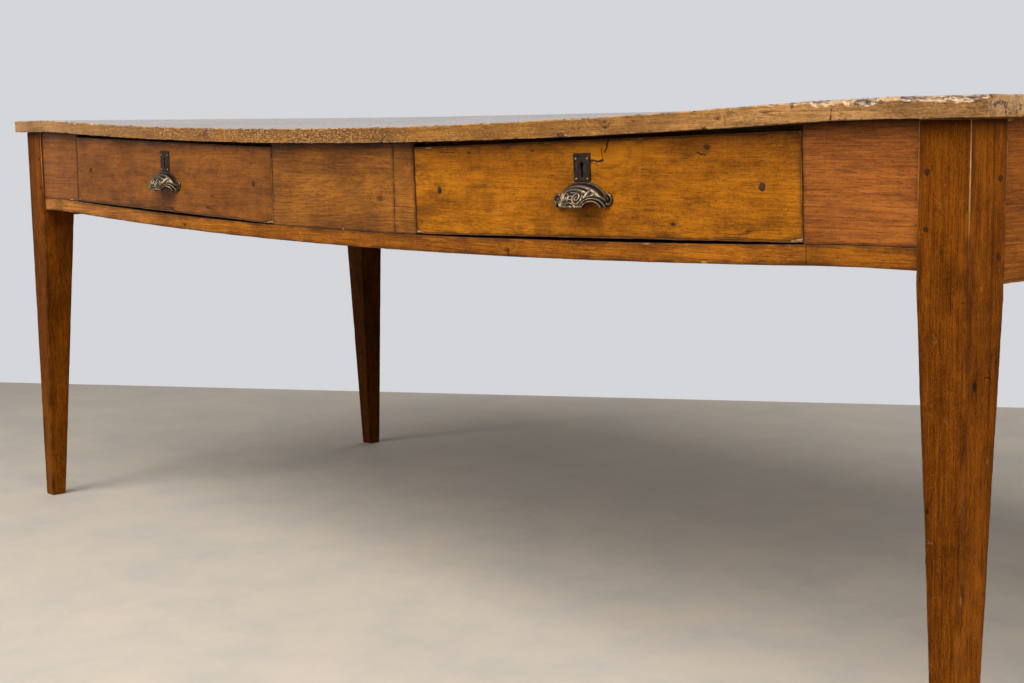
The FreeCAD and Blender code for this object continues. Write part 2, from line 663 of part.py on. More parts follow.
def lock_screws(clearance=0.0):
    """A screw near each corner of the lock plate, driven towards the front of the drawer."""
    x = LOCK_PLATE_WIDTH / 2 - LOCK_SCREW_INSET
    face = DRAWER_FRONT_BACK + LOCK_PLATE_THICKNESS
    screws = []
    for z in (LOCK_TOP - LOCK_HEIGHT + LOCK_SCREW_INSET, LOCK_TOP - LOCK_SCREW_INSET):
        for side in (-1, 1):
            shank_diameter = LOCK_SCREW_DIAMETER + 2 * clearance
            shank = rod(shank_diameter, LOCK_SCREW_LENGTH, (side * x, face, z), (0, -1, 0))
            head = rod(LOCK_SCREW_HEAD_DIAMETER, LOCK_SCREW_HEAD_HEIGHT, (side * x, face, z), (0, 1, 0))
            screws.append(fuse([shank, head]))
    return screws


def drawer_front():
    """The drawer front, bored for its keyhole, plugs and fixings."""
    half = DRAWER_WIDTH / 2
    top = FRONT_CLEARANCE + DRAWER_FRONT_HEIGHT
    front = box(-half, half, FRONT_FACE, DRAWER_FRONT_BACK, FRONT_CLEARANCE, top)
    cutters = [drawer_side(-1), drawer_side(1), drawer_bottom()]
    cutters.append(keyhole(FRONT_FACE, DRAWER_FRONT_BACK, KEYHOLE_WOOD_MARGIN))
    cutters += plugs(PLUG_DIAMETER + 2 * PEG_CLEARANCE)
    cutters += plate_nails(SCREW_CLEARANCE) + pull_screws(SCREW_CLEARANCE) + lock_screws(SCREW_CLEARANCE)
    for cutter in cutters:
        front = front.cut(cutter)
    return front


def drawer_parts():
    """Every piece of one drawer by its name, in the bay's frame."""
    bottom = drawer_bottom()
    back = drawer_back()
    plate = keyhole_plate()
    for nail in plate_nails(SCREW_CLEARANCE):
        plate = plate.cut(nail)
    lock = lock_plate()
    for screw in lock_screws(SCREW_CLEARANCE):
        lock = lock.cut(screw)
    return {
        "drawer_front": drawer_front(),
        "drawer_left_side": drawer_side(-1).cut(bottom).cut(back),
        "drawer_right_side": drawer_side(1).cut(bottom).cut(back),
        "drawer_back": back,
        "drawer_bottom": bottom,
        "drawer_plugs": group(plugs(PLUG_DIAMETER)),
        "keyhole_plate": plate,
        "keyhole_plate_nails": group(plate_nails()),
        "cup_pull": cup_pull(),
        "cup_pull_screws": group(pull_screws()),
        "lock_plate": lock,
        "lock_case": lock_case(),
        "lock_bolt": lock_bolt(),
        "lock_screws": group(lock_screws()),
    }


# Assembly

def frame_parts():
    """The legs, aprons, rails and blocks, mortised for each other and bored for their pegs."""
    runners = [bay.place(runner(side)) for bay in BAYS for side in (-1, 1)]
    blocks = front_blocks()
    rail = front_rail()
    back = back_apron()
    for cutter in list(blocks.values()) + runners:
        rail = rail.cut(cutter)
    for cutter in runners:
        back = back.cut(cutter)
    members = dict(blocks, front_rail=rail, top_rail=top_rail(), back_apron=back)
    for name, side in SIDES:
        members[name + "_apron"] = side_apron(side)
    legs = {}
    for end, side_y in (("front", -1), ("rear", 1)):
        for name, side_x in SIDES:
            leg = leg_blank(side_x, side_y)
            for member in members.values():
                leg = leg.cut(member)
            legs[f"{end}_{name}_leg"] = leg
    holes = joint_pegs(PEG_DIAMETER + 2 * PEG_CLEARANCE)
    top_holes = top_pegs(TOP_PEG_DIAMETER + 2 * PEG_CLEARANCE)
    pieces = {**legs, **members}
    for name, piece in pieces.items():
        for hole in holes + top_holes:
            if piece.BoundBox.intersect(hole.BoundBox):
                piece = piece.cut(hole)
        pieces[name] = piece
    pieces["joint_pegs"] = group(joint_pegs(PEG_DIAMETER))
    return pieces


def top_parts():
    """The planks of the top, bored for their pegs, and the pegs."""
    holes = top_pegs(TOP_PEG_DIAMETER + 2 * PEG_CLEARANCE)
    pieces = {}
    for number, (front, back) in enumerate(board_edges(), 1):
        board = top_board(front, back)
        for hole in holes:
            if board.BoundBox.intersect(hole.BoundBox):
                board = board.cut(hole)
        pieces[f"top_board_{number}"] = board
    pieces["top_pegs"] = group(top_pegs(TOP_PEG_DIAMETER))
    return pieces


def bay_parts(bay):
    """The runners, guides and kickers of one bay and its drawer, in the table's frame."""
    local = {
        "drawer_left_runner": runner(-1),
        "drawer_right_runner": runner(1),
        "drawer_guides": group(guides()),
        "drawer_kickers": group(kickers()),
        **drawer_parts(),
    }
    return {f"{bay.name}_{name}": bay.place(shape) for name, shape in local.items()}


def main():
    os.makedirs("parts", exist_ok=True)
    pieces = {**top_parts(), **frame_parts()}
    for bay in BAYS:
        pieces.update(bay_parts(bay))
    for name, piece in pieces.items():
        piece.exportStep(f"parts/{name}.step")
        sound = all(solid.isValid() for solid in piece.Solids)
        print(f"{name}: {len(piece.Solids)} solids, {piece.Volume / 1000:.2f} cm3, sound {sound}")


main()
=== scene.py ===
"""An old farmhouse kitchen table: worn fruitwood, pegged frame, two drawers, iron locks and cast pulls."""

import math
import random

import bmesh
import bpy
from mathutils import Matrix, Vector, noise


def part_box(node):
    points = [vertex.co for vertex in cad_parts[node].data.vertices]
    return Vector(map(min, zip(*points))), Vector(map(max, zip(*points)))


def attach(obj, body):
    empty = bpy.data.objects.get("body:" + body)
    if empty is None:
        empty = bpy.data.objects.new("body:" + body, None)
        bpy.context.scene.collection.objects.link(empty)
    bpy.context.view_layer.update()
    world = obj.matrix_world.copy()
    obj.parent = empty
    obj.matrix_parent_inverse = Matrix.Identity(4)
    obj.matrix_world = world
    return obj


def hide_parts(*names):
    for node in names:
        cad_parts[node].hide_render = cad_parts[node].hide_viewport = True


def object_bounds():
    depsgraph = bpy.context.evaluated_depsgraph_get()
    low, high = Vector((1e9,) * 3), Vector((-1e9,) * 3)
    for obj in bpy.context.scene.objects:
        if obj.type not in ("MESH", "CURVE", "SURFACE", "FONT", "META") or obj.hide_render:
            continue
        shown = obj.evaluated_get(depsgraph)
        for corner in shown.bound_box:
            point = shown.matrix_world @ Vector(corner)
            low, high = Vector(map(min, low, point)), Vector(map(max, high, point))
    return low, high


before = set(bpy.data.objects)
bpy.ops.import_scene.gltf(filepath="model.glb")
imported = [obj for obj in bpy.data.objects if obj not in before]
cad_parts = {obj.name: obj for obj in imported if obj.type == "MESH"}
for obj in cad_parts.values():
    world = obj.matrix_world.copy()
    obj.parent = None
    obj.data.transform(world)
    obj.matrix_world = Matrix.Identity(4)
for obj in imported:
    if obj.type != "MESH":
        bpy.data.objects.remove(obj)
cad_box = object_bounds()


# Legs
# Four legs sawn from square fruitwood, upright outside and tapered on the two faces towards the middle.
# They are mortised for the aprons, and long use has rounded and bruised their arrises.

LEG_FOOT = 0.028
LEG_ARRIS = 0.0008
LEG_TINTS = ((0.285, 0.080, 0.005), (0.170, 0.045, 0.003), (0.034, 0.008, 0.001))
# Pale colour on the legs' arrises: partly wear, partly a painted highlight along the arris.
LEG_WEAR_AND_HIGHLIGHT = (0.680, 0.360, 0.140)
# Painted shade: each leg's tints are darkened by where it stands, the rear legs most as if in the shade under
# the top, the left front leg a little.
LEG_PAINTED_SHADE = {"front_left": 0.88, "front_right": 0.95, "rear_left": 0.54, "rear_right": 0.54}
LEG_PLACES = {"front_left": (-1, -1), "front_right": (1, -1), "rear_left": (-1, 1), "rear_right": (1, 1)}
LEG_KNOTS = {"front_right": ((0.103, -0.016, -0.031, 0.0045, 1.0), (-0.030, -0.031, 0.012, 0.0025, 0.9)),
             "front_left": ((-0.10, -0.031, 0.006, 0.0035, 0.8),)}
LEG_CRACKS = {"front_right": (((0.118, 0.006, -0.031), (0.102, 0.013, -0.031), 0.0011),
                              ((0.110, 0.000, -0.031), (0.108, 0.014, -0.031), 0.0009))}
LEG_CUTS = {"front_right": ((1, 0.30, 0.185, 0.0009),)}
RAW_WOOD = (0.480, 0.205, 0.042)
FRESH_WOOD = (0.580, 0.370, 0.170)
# A near-black brown for dirt, pores and cracks, also used for painted shade under the top, in the keyhole and
# round the pull.
DIRT_AND_SHADE = (0.018, 0.007, 0.003)
PIT_BROWN = (0.090, 0.042, 0.012)
ARC_STEPS = 4
END_TURNS = (0, 30, 60)
NICK_HALVES = (0.003, 0.014)
FULL_CHIP = 0.0015
ARRIS_GUARD = 0.0012
WIDEST_ROUND = 0.42
UNEVEN_WAVES = 30
BROAD_WAVES = 22
FINE_WAVES = 170
SOIL_REACH = 0.007
# How far below the top's underside the painted shade under the overhang reaches.
OVERHANG_SHADE_REACH = 0.022
GRAIN_TURNS = {"X": (0, 0, 0), "Y": (0, 0, -math.pi / 2), "Z": (0, math.pi / 2, 0)}


class Shade:
    """One socket of a node tree: sums written on it add the Math nodes that do them."""

    def __init__(self, nodes, socket):
        self.nodes = nodes
        self.socket = socket

    def __add__(self, other):
        return self.nodes.maths("ADD", self, other)

    __radd__ = __add__

    def __sub__(self, other):
        return self.nodes.maths("SUBTRACT", self, other)

    def __rsub__(self, other):
        return self.nodes.maths("SUBTRACT", other, self)

    def __mul__(self, other):
        return self.nodes.maths("MULTIPLY", self, other)

    __rmul__ = __mul__

    def __truediv__(self, other):
        return self.nodes.maths("DIVIDE", self, other)

    def __pow__(self, other):
        return self.nodes.maths("POWER", self, other)

    def __abs__(self):
        return self.nodes.maths("ABSOLUTE", self)


class Nodes:
    """A node tree that is written down as expressions."""

    def __init__(self, tree):
        self.tree = tree
        tree.nodes.clear()

    def node(self, kind, settings=None, sockets=None, out=0):
        """One node: its settings first, then the values or links of its sockets; gives back one output."""
        made = self.tree.nodes.new(kind)
        for key, value in (settings or {}).items():
            if key == "stops":
                stops = made.color_ramp.elements
                while len(stops) < len(value):
                    stops.new(1.0)
                for stop, (place, grey) in zip(stops, value):
                    stop.position = place
                    stop.color = (grey, grey, grey, 1.0)
            else:
                setattr(made, key, value)
        for key, value in (sockets or {}).items():
            if isinstance(value, Shade):
                self.tree.links.new(value.socket, made.inputs[key])
            else:
                made.inputs[key].default_value = value
        return Shade(self, made.outputs[out]) if made.outputs else None

    def maths(self, operation, *terms):
        return self.node("ShaderNodeMath", {"operation": operation}, dict(enumerate(terms)))


class Finish(Nodes):
    """The nodes of a new material, or of the world."""

    def __init__(self, owner):
        owner.use_nodes = True
        super().__init__(owner.node_tree)
        self.owner = owner

    def vector(self, operation, *terms, out=0):
        return self.node("ShaderNodeVectorMath", {"operation": operation}, dict(enumerate(terms)), out)

    def place(self):
        """The place on the table, in metres."""
        return self.node("ShaderNodeTexCoord", out="Object")

    def grain(self, place, stretch, detail=2.0, roughness=0.55):
        """Noise drawn out by a different number of waves per metre along each axis."""
        scaled = self.vector("MULTIPLY", place, stretch)
        sockets = {"Vector": scaled, "Scale": 1.0, "Detail": detail, "Roughness": roughness}
        return self.node("ShaderNodeTexNoise", {}, sockets)

    def band(self, value, low, high):
        """A soft step from nothing at low to all at high."""
        sockets = {0: value, 1: low, 2: high, 3: 0.0, 4: 1.0}
        return self.node("ShaderNodeMapRange", {"interpolation_type": "SMOOTHSTEP"}, sockets)

    def blend(self, share, under, over):
        """One colour laid over another."""
        colours = [c if isinstance(c, Shade) else (*c, 1.0) for c in (under, over)]
        sockets = {0: share, 6: colours[0], 7: colours[1]}
        return self.node("ShaderNodeMix", {"data_type": "RGBA"}, sockets, 2)

    def coats(self, colour, coats):
        """A ground colour with coats laid over it in turn, each a share and a colour."""
        for share, tint in coats:
            colour = self.blend(share, colour, tint)
        return colour

    def marked(self, name):
        """A value stored on the mesh's points."""
        return self.node("ShaderNodeAttribute", {"attribute_name": name}, {}, 2)

    def from_line(self, place, start, stop):
        """The distance of a place from a short straight line."""
        way = Vector(stop) - Vector(start)
        off = self.vector("SUBTRACT", place, start)
        share = self.vector("DOT_PRODUCT", off, tuple(way / way.length_squared), out="Value")
        share = self.node("ShaderNodeClamp", {}, {0: share})
        foot = self.node("ShaderNodeVectorMath", {"operation": "SCALE"}, {0: tuple(way), "Scale": share})
        return self.vector("DISTANCE", off, foot, out="Value")

    def done(self, colour, roughness, height, depth, more=None, metallic=0.0):
        """Joins the colour, roughness and relief to the surface shader."""
        bump = self.node("ShaderNodeBump", {}, {"Strength": 1.0, "Distance": depth, "Height": height})
        sockets = {"Base Color": colour, "Roughness": roughness, "Metallic": metallic, "Normal": bump}
        surface = self.node("ShaderNodeBsdfPrincipled", {}, {**sockets, **(more or {})})
        self.node("ShaderNodeOutputMaterial", {}, {"Surface": surface})
        return self.owner


def wood(name, grain, centre, tints, seed, ring=0.006, pith=(0.03, 0.12), lean=0.03, figure=0.5, mottle=0.5,
         fibrous=1.0, coarse=0.0, knots=(), cracks=(), bleached=None, roughness=0.44, shine=0.07, aged=None,
         waxed=0.0, butt=0.85, soiling=0.6, rimmed=0.0, worn=RAW_WOOD, wear=0.4, wear_and_highlight_from=None, glint=0.3,
         battered=0.2):
    """Old waxed wood cut beside its pith line, with pores, wormholes and rubbed edges.
    Tints are light, middle and dark. Ring, pith, lean and figure make the rings, and mottle, fibrous and
    coarse the blotches, fibres and open grain. Knots are (along, side, deep, size, darkness) and cracks
    (start, stop, width), from the middle of the piece. Bleached is (colour, place along, near, far).
    Aged is the colour and roughness of faces that look up, waxed their coat, and butt how dark the cut ends
    are. Soiling and rimmed dirty the edges; worn, wear and glint rub them bare and bright, and battered pits
    them. A stretch given along the piece keeps the rubbed colour to that stretch, where it is partly wear and
    partly a painted highlight along the arris."""
    f = Finish(bpy.data.materials.new(name))
    light, middle, dark = tints
    from_centre = f.vector("SUBTRACT", f.place(), tuple(centre))
    local = f.node("ShaderNodeMapping", {}, {"Vector": from_centre, "Rotation": GRAIN_TURNS[grain]})
    seeded = f.vector("ADD", local, (seed * 3.7, seed * 1.9, seed * 5.3))
    along, side, deep = (f.node("ShaderNodeSeparateXYZ", {}, {0: local}, axis) for axis in range(3))

    def drawn(long, wide, detail=2.0, rough=0.55):
        return f.grain(seeded, (long, wide, wide), detail, rough)

    # Rings about the pith, bent round each knot
    sway = (drawn(1.5, 5) - 0.5) * 0.055
    flutter = (drawn(9, 50, 3) - 0.5) * 0.005
    from_pith = side - pith[0] + along * lean
    under_pith = deep - pith[1]
    radius = (from_pith * from_pith + under_pith * under_pith) ** 0.5 + sway + flutter
    core, halo, glow, hollow = 0.0, 0.0, 0.0, 0.0
    for x, y, z, size, darkness in knots:
        off = f.vector("MULTIPLY", f.vector("SUBTRACT", local, (x, y, z)), (0.6, 1.0, 1.0))
        distance = f.vector("LENGTH", off, out="Value") + (drawn(90, 90, 3) - 0.5) * size
        near = 1 - f.band(distance, 0.8 * size, 4.0 * size)
        radius = radius - near * size * 1.8
        core = core + (1 - f.band(distance, 0.4 * size, 1.1 * size)) * darkness
        halo = halo + near * 0.5 * darkness
        glow = glow + near * (1 - darkness)
    stops = ((0, 0.05), (0.5, 0.25), (0.85, 1.0), (1.0, 0.05))
    tone = f.node("ShaderNodeValToRGB", {"stops": stops}, {0: f.maths("FRACT", radius / ring)})

    # Colour from broad blotches down to single fibres and pores
    streak = drawn(2.2, 70, 3)
    patch = drawn(11, 34, 6, 0.66)
    cloud = drawn(24, 44, 5, 0.70)
    fibre = drawn(10, 400, 4, 0.66)
    hair = drawn(18, 760, 2, 0.6)
    grit = drawn(430, 620, 1)
    pore = f.band(drawn(60, 950, 1), 0.60, 0.70)
    fleck = f.band(drawn(34, 330, 2), 0.68, 0.74)
    ground = f.blend(f.band(drawn(3.0, 9, 4), 0.33, 0.67), light, middle)
    coats = []
    if bleached:
        tint, middle_at, near, far = bleached
        coats.append((f.band(abs(along - middle_at), near, far) * 0.8, tint))
    coats += [
        (f.band(patch, 0.42, 0.70) * mottle, dark),
        (f.band(cloud, 0.46, 0.70) * mottle * 0.7, dark),
        ((1 - f.band(cloud, 0.28, 0.46)) * 0.4, light),
        (f.band(drawn(4, 240, 3), 0.48, 0.70) * 0.36 * fibrous, dark),
        (f.band(drawn(75, 14, 2), 0.45, 0.75) * 0.22, light),
        (tone * f.band(streak, 0.25, 0.75) * ((halo + glow) * 0.5 + figure), dark),
        (f.band(fibre, 0.46, 0.66) * 0.55 * fibrous, dark),
        (f.band(streak, 0.55, 0.85) * 0.35 * fibrous, dark),
        (f.band(hair, 0.56, 0.64) * 0.5 * fibrous, dark),
        ((1 - f.band(hair, 0.36, 0.44)) * 0.5 * fibrous, light),
        (f.band(drawn(95, 620, 2), 0.59, 0.67) * 0.5, dark),
        (f.band(grit, 0.55, 0.72) * 0.4, dark),
        ((1 - f.band(grit, 0.28, 0.45)) * 0.3, light),
        (pore * 0.34 + fleck * 0.46, DIRT_AND_SHADE),
    ]
    if coarse:
        ragged = drawn(180, 400, 3, 0.7)
        uneven = f.band(drawn(6, 20, 2), 0.35, 0.60) * 0.6 + 0.4
        uneven = uneven * (1 - f.band(abs(along + 0.25), 0.2, 0.6) * 0.7) * coarse
        hollow = f.band(ragged, 0.51, 0.59) * uneven
        coats += [((1 - f.band(ragged, 0.39, 0.48)) * uneven * 0.7, worn), (hollow * 0.9, PIT_BROWN)]
    if knots:
        coats += [(glow * (0.75 - tone * 0.5), light), (halo * (tone * 0.6 + 0.4), dark)]
        coats.append((core * 0.95, DIRT_AND_SHADE))

    # Faces that look up, cut ends, gathered dirt, and painted shade under the top, in the keyhole and round
    # the pull
    edge = f.band(f.marked("wear"), 0.5, 0.95)
    coat = edge * glint
    facing = f.node("ShaderNodeNewGeometry", out="Normal")
    if aged:
        tint, aged_roughness = aged
        upward = f.band(f.node("ShaderNodeSeparateXYZ", {}, {0: facing}, 2), 0.6, 0.95)
        coats.append((upward * f.band(streak, 0.05, 0.6) * 0.9, tint))
        roughness = upward * (aged_roughness - roughness) + roughness
        coat = upward * waxed + coat
    ends = f.band(abs(f.node("ShaderNodeSeparateXYZ", {}, {0: facing}, "XYZ".index(grain))), 0.6, 0.9)
    grime = f.band(drawn(7, 16, 3), 0.50, 0.72)
    soil = f.marked("soil")
    lee = f.marked("lee")
    scuff = drawn(28, 55, 4, 0.65)
    coats += [
        (ends * f.band(drawn(500, 420, 3, 0.7), 0.35, 0.6) * butt, dark),
        (grime * 0.30, dark),
        (f.band(drawn(230, 330, 1), 0.67, 0.73) * f.band(patch, 0.48, 0.62) * 0.55, DIRT_AND_SHADE),
        (soil * f.band(drawn(26, 60, 3), 0.36, 0.62) * soiling, DIRT_AND_SHADE),
        # Painted shade: darkens points near the top's underside, inside the keyhole and round the pull; under
        # the top and round the pull it is partly grime too.
        (lee * lee * 0.8, DIRT_AND_SHADE),
    ]
    if rimmed:
        coats.append((f.band(soil, 0.66, 0.97) * f.band(scuff, 0.25, 0.5) * rimmed, DIRT_AND_SHADE))

    # Scratches, rubbed and broken edges, and on the legs a painted highlight along the upper arris
    chip = f.marked("chip")
    crossed = f.node("ShaderNodeMapping", {}, {"Vector": seeded, "Rotation": (0.3, 0.9, 0.5)})
    scratch = 1 - f.band(abs(f.grain(crossed, (7, 60, 60), 1) - 0.5), 0.0, 0.012)
    rubbed = edge * f.band(scuff, 0.32, 0.56) * wear
    # Kept to a stretch along the piece, the rubbed colour is partly wear and partly a painted highlight.
    if wear_and_highlight_from:
        rubbed = edge * f.band(scuff, 0.15, 0.45) * wear * f.band(along, *wear_and_highlight_from)
    pitted = edge * f.band(drawn(80, 190, 4, 0.65), 0.55, 0.63) * battered
    broken = f.band(chip, 0.1, 0.6) * f.band(drawn(60, 160, 4, 0.7), 0.50, 0.58) * battered
    coats += [
        (scratch * f.band(drawn(55, 70, 1), 0.62, 0.68) * 0.15, worn),
        (rubbed, worn),
        (f.band(chip, 0.35, 0.95) * f.band(scuff, 0.40, 0.54) * 0.7, FRESH_WOOD),
        (pitted, DIRT_AND_SHADE),
        (broken, DIRT_AND_SHADE),
    ]

    # Splits, wormholes and the cracks that were given
    split = 1 - f.band(abs(drawn(1.1, 17, 3) - 0.5), 0.0, 0.004)
    cells = {"Vector": seeded, "Scale": 42.0}
    hole = 1 - f.band(f.node("ShaderNodeTexVoronoi", {}, cells, "Distance"), 0.026, 0.044)
    luck = f.node("ShaderNodeSeparateColor", {}, {0: f.node("ShaderNodeTexVoronoi", {}, cells, "Color")}, 0)
    marks = f.maths("MAXIMUM", split * f.band(drawn(2.0, 5), 0.58, 0.66), hole * f.band(luck, 0.86, 0.87))
    wander = f.node("ShaderNodeTexNoise", {}, {"Vector": seeded, "Scale": 110.0, "Detail": 3.0}, "Color")
    stray = f.vector("MULTIPLY", f.vector("SUBTRACT", wander, (0.5, 0.5, 0.5)), (0.006, 0, 0.006))
    strayed = f.vector("ADD", local, stray)
    for start, stop, width in cracks:
        thin = drawn(150, 150, 2) * width * 1.1
        line = 1 - f.band(f.from_line(strayed, start, stop) + thin, 0.7 * width, 1.4 * width)
        marks = f.maths("MAXIMUM", marks, line)
    coats.append((marks * 0.94, DIRT_AND_SHADE))

    height = fibre * 0.35 + tone * 0.2 - pore * 0.4 - fleck * 0.4 - marks * 2.2 - pitted * 1.6 - broken * 1.2
    height = height - core * 0.8 + drawn(14, 30, 2) * 1.6 - hollow
    dull = fibre * 0.16 - rubbed * 0.10 - chip * 0.16 + grime * 0.10 + marks * 0.4 + roughness - 0.08
    polish = {"Specular IOR Level": shine, "Coat Roughness": 0.16, "Coat Weight": coat}
    return f.done(f.coats(ground, coats), dull, height, depth=0.0006, more=polish)


def placed(name, data):
    """A new object in the scene."""
    made = bpy.data.objects.new(name, data)
    bpy.context.scene.collection.objects.link(made)
    return made


def mesh_of(name, points, faces=()):
    """A mesh from its points and faces."""
    mesh = bpy.data.meshes.new(name)
    mesh.from_pydata(points, [], faces)
    return mesh


def mark(mesh, **marks):
    """Stores values on a mesh's points, for its finish to read."""
    for label, values in marks.items():
        mesh.attributes.new(label, "FLOAT", "POINT").data.foreach_set("value", values)


def skinned(rings, ring):
    """The faces that join rings of points, and one more at each end."""
    faces = [tuple(range(ring - 1, -1, -1)), tuple(range((rings - 1) * ring, rings * ring))]
    for s in range(rings - 1):
        for i in range(ring):
            low, high = s * ring + i, s * ring + (i + 1) % ring
            faces.append((low, high, high + ring, low + ring))
    return faces


def worn_bar(name, corners_at, radii, nicks=(0, 0, 0, 0), bite=0.003, step=0.006, across=0.008, end=0.0015,
             seed=0, wave=0.0003, fray=0.0002, cuts=()):
    """A sawn bar with softened arrises: corners_at(0 to 1) gives its four corners, radii and end how far its
    arrises and ends are rounded, step and across the size of its faces. Nicks up to bite deep are knocked at
    random into each arris, cuts are (arris, place along, half length, depth), and wave and fray roughen the
    faces and the arrises."""
    dice = random.Random(seed)
    length = max((b - a).length for a, b in zip(corners_at(0.0), corners_at(1.0)))
    middle = corners_at(0.5)
    pitches = across if isinstance(across, tuple) else (across,) * 4
    counts = [max(1, round((middle[(i + 1) % 4] - middle[i]).length / pitches[i])) for i in range(4)]
    knocks = list(cuts)
    for arris, count in enumerate(nicks):
        for _ in range(count):
            half = dice.uniform(*NICK_HALVES)
            knocks.append((arris, dice.uniform(0, length), half, bite * dice.uniform(0.25, 1.0) ** 2))
    first, last = end if isinstance(end, tuple) else (end, end)
    turns = [math.radians(turn) for turn in END_TURNS]
    rounding = [(1 - math.cos(turn), 1 - math.sin(turn)) for turn in turns]
    steps = max(2, round((length - first - last) / step))
    stations = [(first * run, first * inset) for run, inset in rounding]
    stations += [(first + (length - first - last) * i / steps, 0.0) for i in range(steps + 1)]
    stations += [(length - last * run, last * inset) for run, inset in reversed(rounding)]
    points, wear, chips, soil = [], [], [], []
    for run, inset in stations:
        corners = [c.copy() for c in corners_at(run / length)]
        sides = [(corners[(i + 1) % 4] - corners[i]) for i in range(4)]
        ways = [side.normalized() for side in sides]
        for i in range(4):
            corners[i] += (ways[i] - ways[i - 1]) * inset
        rounds, hits = [], []
        end_soil = max(0.0, 1 - min(run, length - run) / SOIL_REACH)
        for i in range(4):
            here = [(run - at, half, depth) for arris, at, half, depth in knocks if arris == i]
            bites = [depth * (1 - (off / half) ** 2) for off, half, depth in here if abs(off) < half]
            hit = max(bites, default=0)
            arris = radii[i](run / length) if callable(radii[i]) else radii[i]
            size = arris * (1 + 0.5 * noise.noise(Vector((run * UNEVEN_WAVES, i * 9.7, seed)))) + hit
            rounds.append(min(size, WIDEST_ROUND * min(sides[i].length, sides[i - 1].length)))
            hits.append(min(1.0, hit / FULL_CHIP))
        for i in range(4):
            back, ahead = -ways[i - 1] * rounds[i], ways[i] * rounds[i]
            for k in range(ARC_STEPS + 1):
                turn = math.radians(90 * k / ARC_STEPS)
                points.append(corners[i] + back * (1 - math.sin(turn)) + ahead * (1 - math.cos(turn)))
                wear.append(0.75 if k in (0, ARC_STEPS) else 1.0)
                chips.append(hits[i])
                soil.append(1.0)
            start = corners[i] + ahead
            stop = corners[(i + 1) % 4] - ways[i] * rounds[(i + 1) % 4]
            flat = (stop - start).length
            guard = min(ARRIS_GUARD, 0.2 * flat)
            inner = flat - 2 * guard
            for run_in in [guard + inner * k / (counts[i] + 1) for k in range(counts[i] + 2)]:
                points.append(start + ways[i] * run_in)
                wear.append(1.0 if inset else 0.0)
                chips.append(0.0)
                soil.append(max(end_soil, 1 - min(run_in, flat - run_in) / SOIL_REACH, 0.0))
    mesh = mesh_of(name, points, skinned(len(stations), len(points) // len(stations)))
    work = bmesh.new()
    work.from_mesh(mesh)
    bmesh.ops.recalc_face_normals(work, faces=work.faces)
    work.normal_update()
    for vertex, rubbed in zip(work.verts, wear):
        broad = noise.fractal(vertex.co * BROAD_WAVES + Vector((seed, 0, 0)), 1.0, 2.0, 3)
        fine = noise.fractal(vertex.co * FINE_WAVES, 1.0, 2.0, 3)
        vertex.co += vertex.normal * (wave * broad + fray * rubbed * fine)
    work.to_mesh(mesh)
    work.free()
    mesh.shade_smooth()
    mark(mesh, wear=wear, chip=chips, soil=soil)
    return placed(name, mesh)


def shade_under_overhang(piece, hang=lambda x, y: 0.0):
    """Marks how near each point is to the table top that hangs over it, where shade is painted dark with some
    grime.
    """
    tops = [underside - hang(vertex.co.x, vertex.co.y) for vertex in piece.data.vertices]
    drops = [top - vertex.co.z for top, vertex in zip(tops, piece.data.vertices)]
    mark(piece.data, lee=[max(0.0, 1 - drop / OVERHANG_SHADE_REACH) for drop in drops])


def dress(piece, body, slot, material, *stands_for):
    """Gives a piece its finish and its place in the table."""
    piece.data.materials.clear()
    piece.data.materials.append(material)
    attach(piece, body)
    if stands_for:
        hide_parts(*stands_for)


apron_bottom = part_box("left_apron")[0].z
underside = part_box("front_left_leg")[1].z
for number, (corner, (sx, sy)) in enumerate(LEG_PLACES.items()):
    low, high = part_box(f"{corner}_leg")
    outer = Vector((high.x if sx > 0 else low.x, high.y if sy > 0 else low.y, 0))

    def leg_corners(t):
        z = high.z * t
        width = LEG_FOOT + (high.x - low.x - LEG_FOOT) * min(1.0, z / apron_bottom)
        inward = ((0, 0), (-sx * width, 0), (-sx * width, -sy * width), (0, -sy * width))
        return [Vector((outer.x + dx, outer.y + dy, z)) for dx, dy in inward]

    tints = [tuple(part * LEG_PAINTED_SHADE[corner] for part in tint) for tint in LEG_TINTS]
    # The arris is rubbed pale only on the leg's upper stretch: partly wear, partly a painted highlight.
    finish = wood(f"{corner}_leg_wood", "Z", (low + high) / 2, tints, 11 + number, ring=0.0075,
                  pith=(0.05, -0.09), lean=0.02, figure=0.3, fibrous=0.75, knots=LEG_KNOTS.get(corner, ()),
                  cracks=LEG_CRACKS.get(corner, ()), shine=0.015, worn=LEG_WEAR_AND_HIGHLIGHT, wear=0.55,
                  wear_and_highlight_from=(0.21, 0.33))
    leg = worn_bar(f"{corner}_leg_worn", leg_corners, [LEG_ARRIS] * 4, (3, 3, 2, 3), bite=0.0010, step=0.005,
                   end=0.0025, seed=21 + number, cuts=LEG_CUTS.get(corner, ()))
    # Painted shade, with some grime, at the leg's head under the top.
    shade_under_overhang(leg)
    dress(leg, "table", "leg_wood", finish, f"{corner}_leg")


# Side and back aprons
# Three wide boards tenoned between the legs, set back a little from their outer faces.
# They carry the top and, along the back, the rear ends of the drawer runners.

APRON_TINTS = ((0.330, 0.100, 0.010), (0.220, 0.062, 0.006), (0.085, 0.022, 0.003))
APRON_ARRIS = 0.0016
SIDE_KNOTS = ((0.12, 0.011, -0.03, 0.006, 0.8),)
BACK_KNOTS = ((0.45, 0.011, 0.03, 0.009, 0.7), (-0.62, 0.011, -0.02, 0.006, 0.9))
BACK_TOP_DROP = 0.0012
BACK_LOW_DROP = 0.0011

leg_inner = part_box("rear_right_leg")[0]


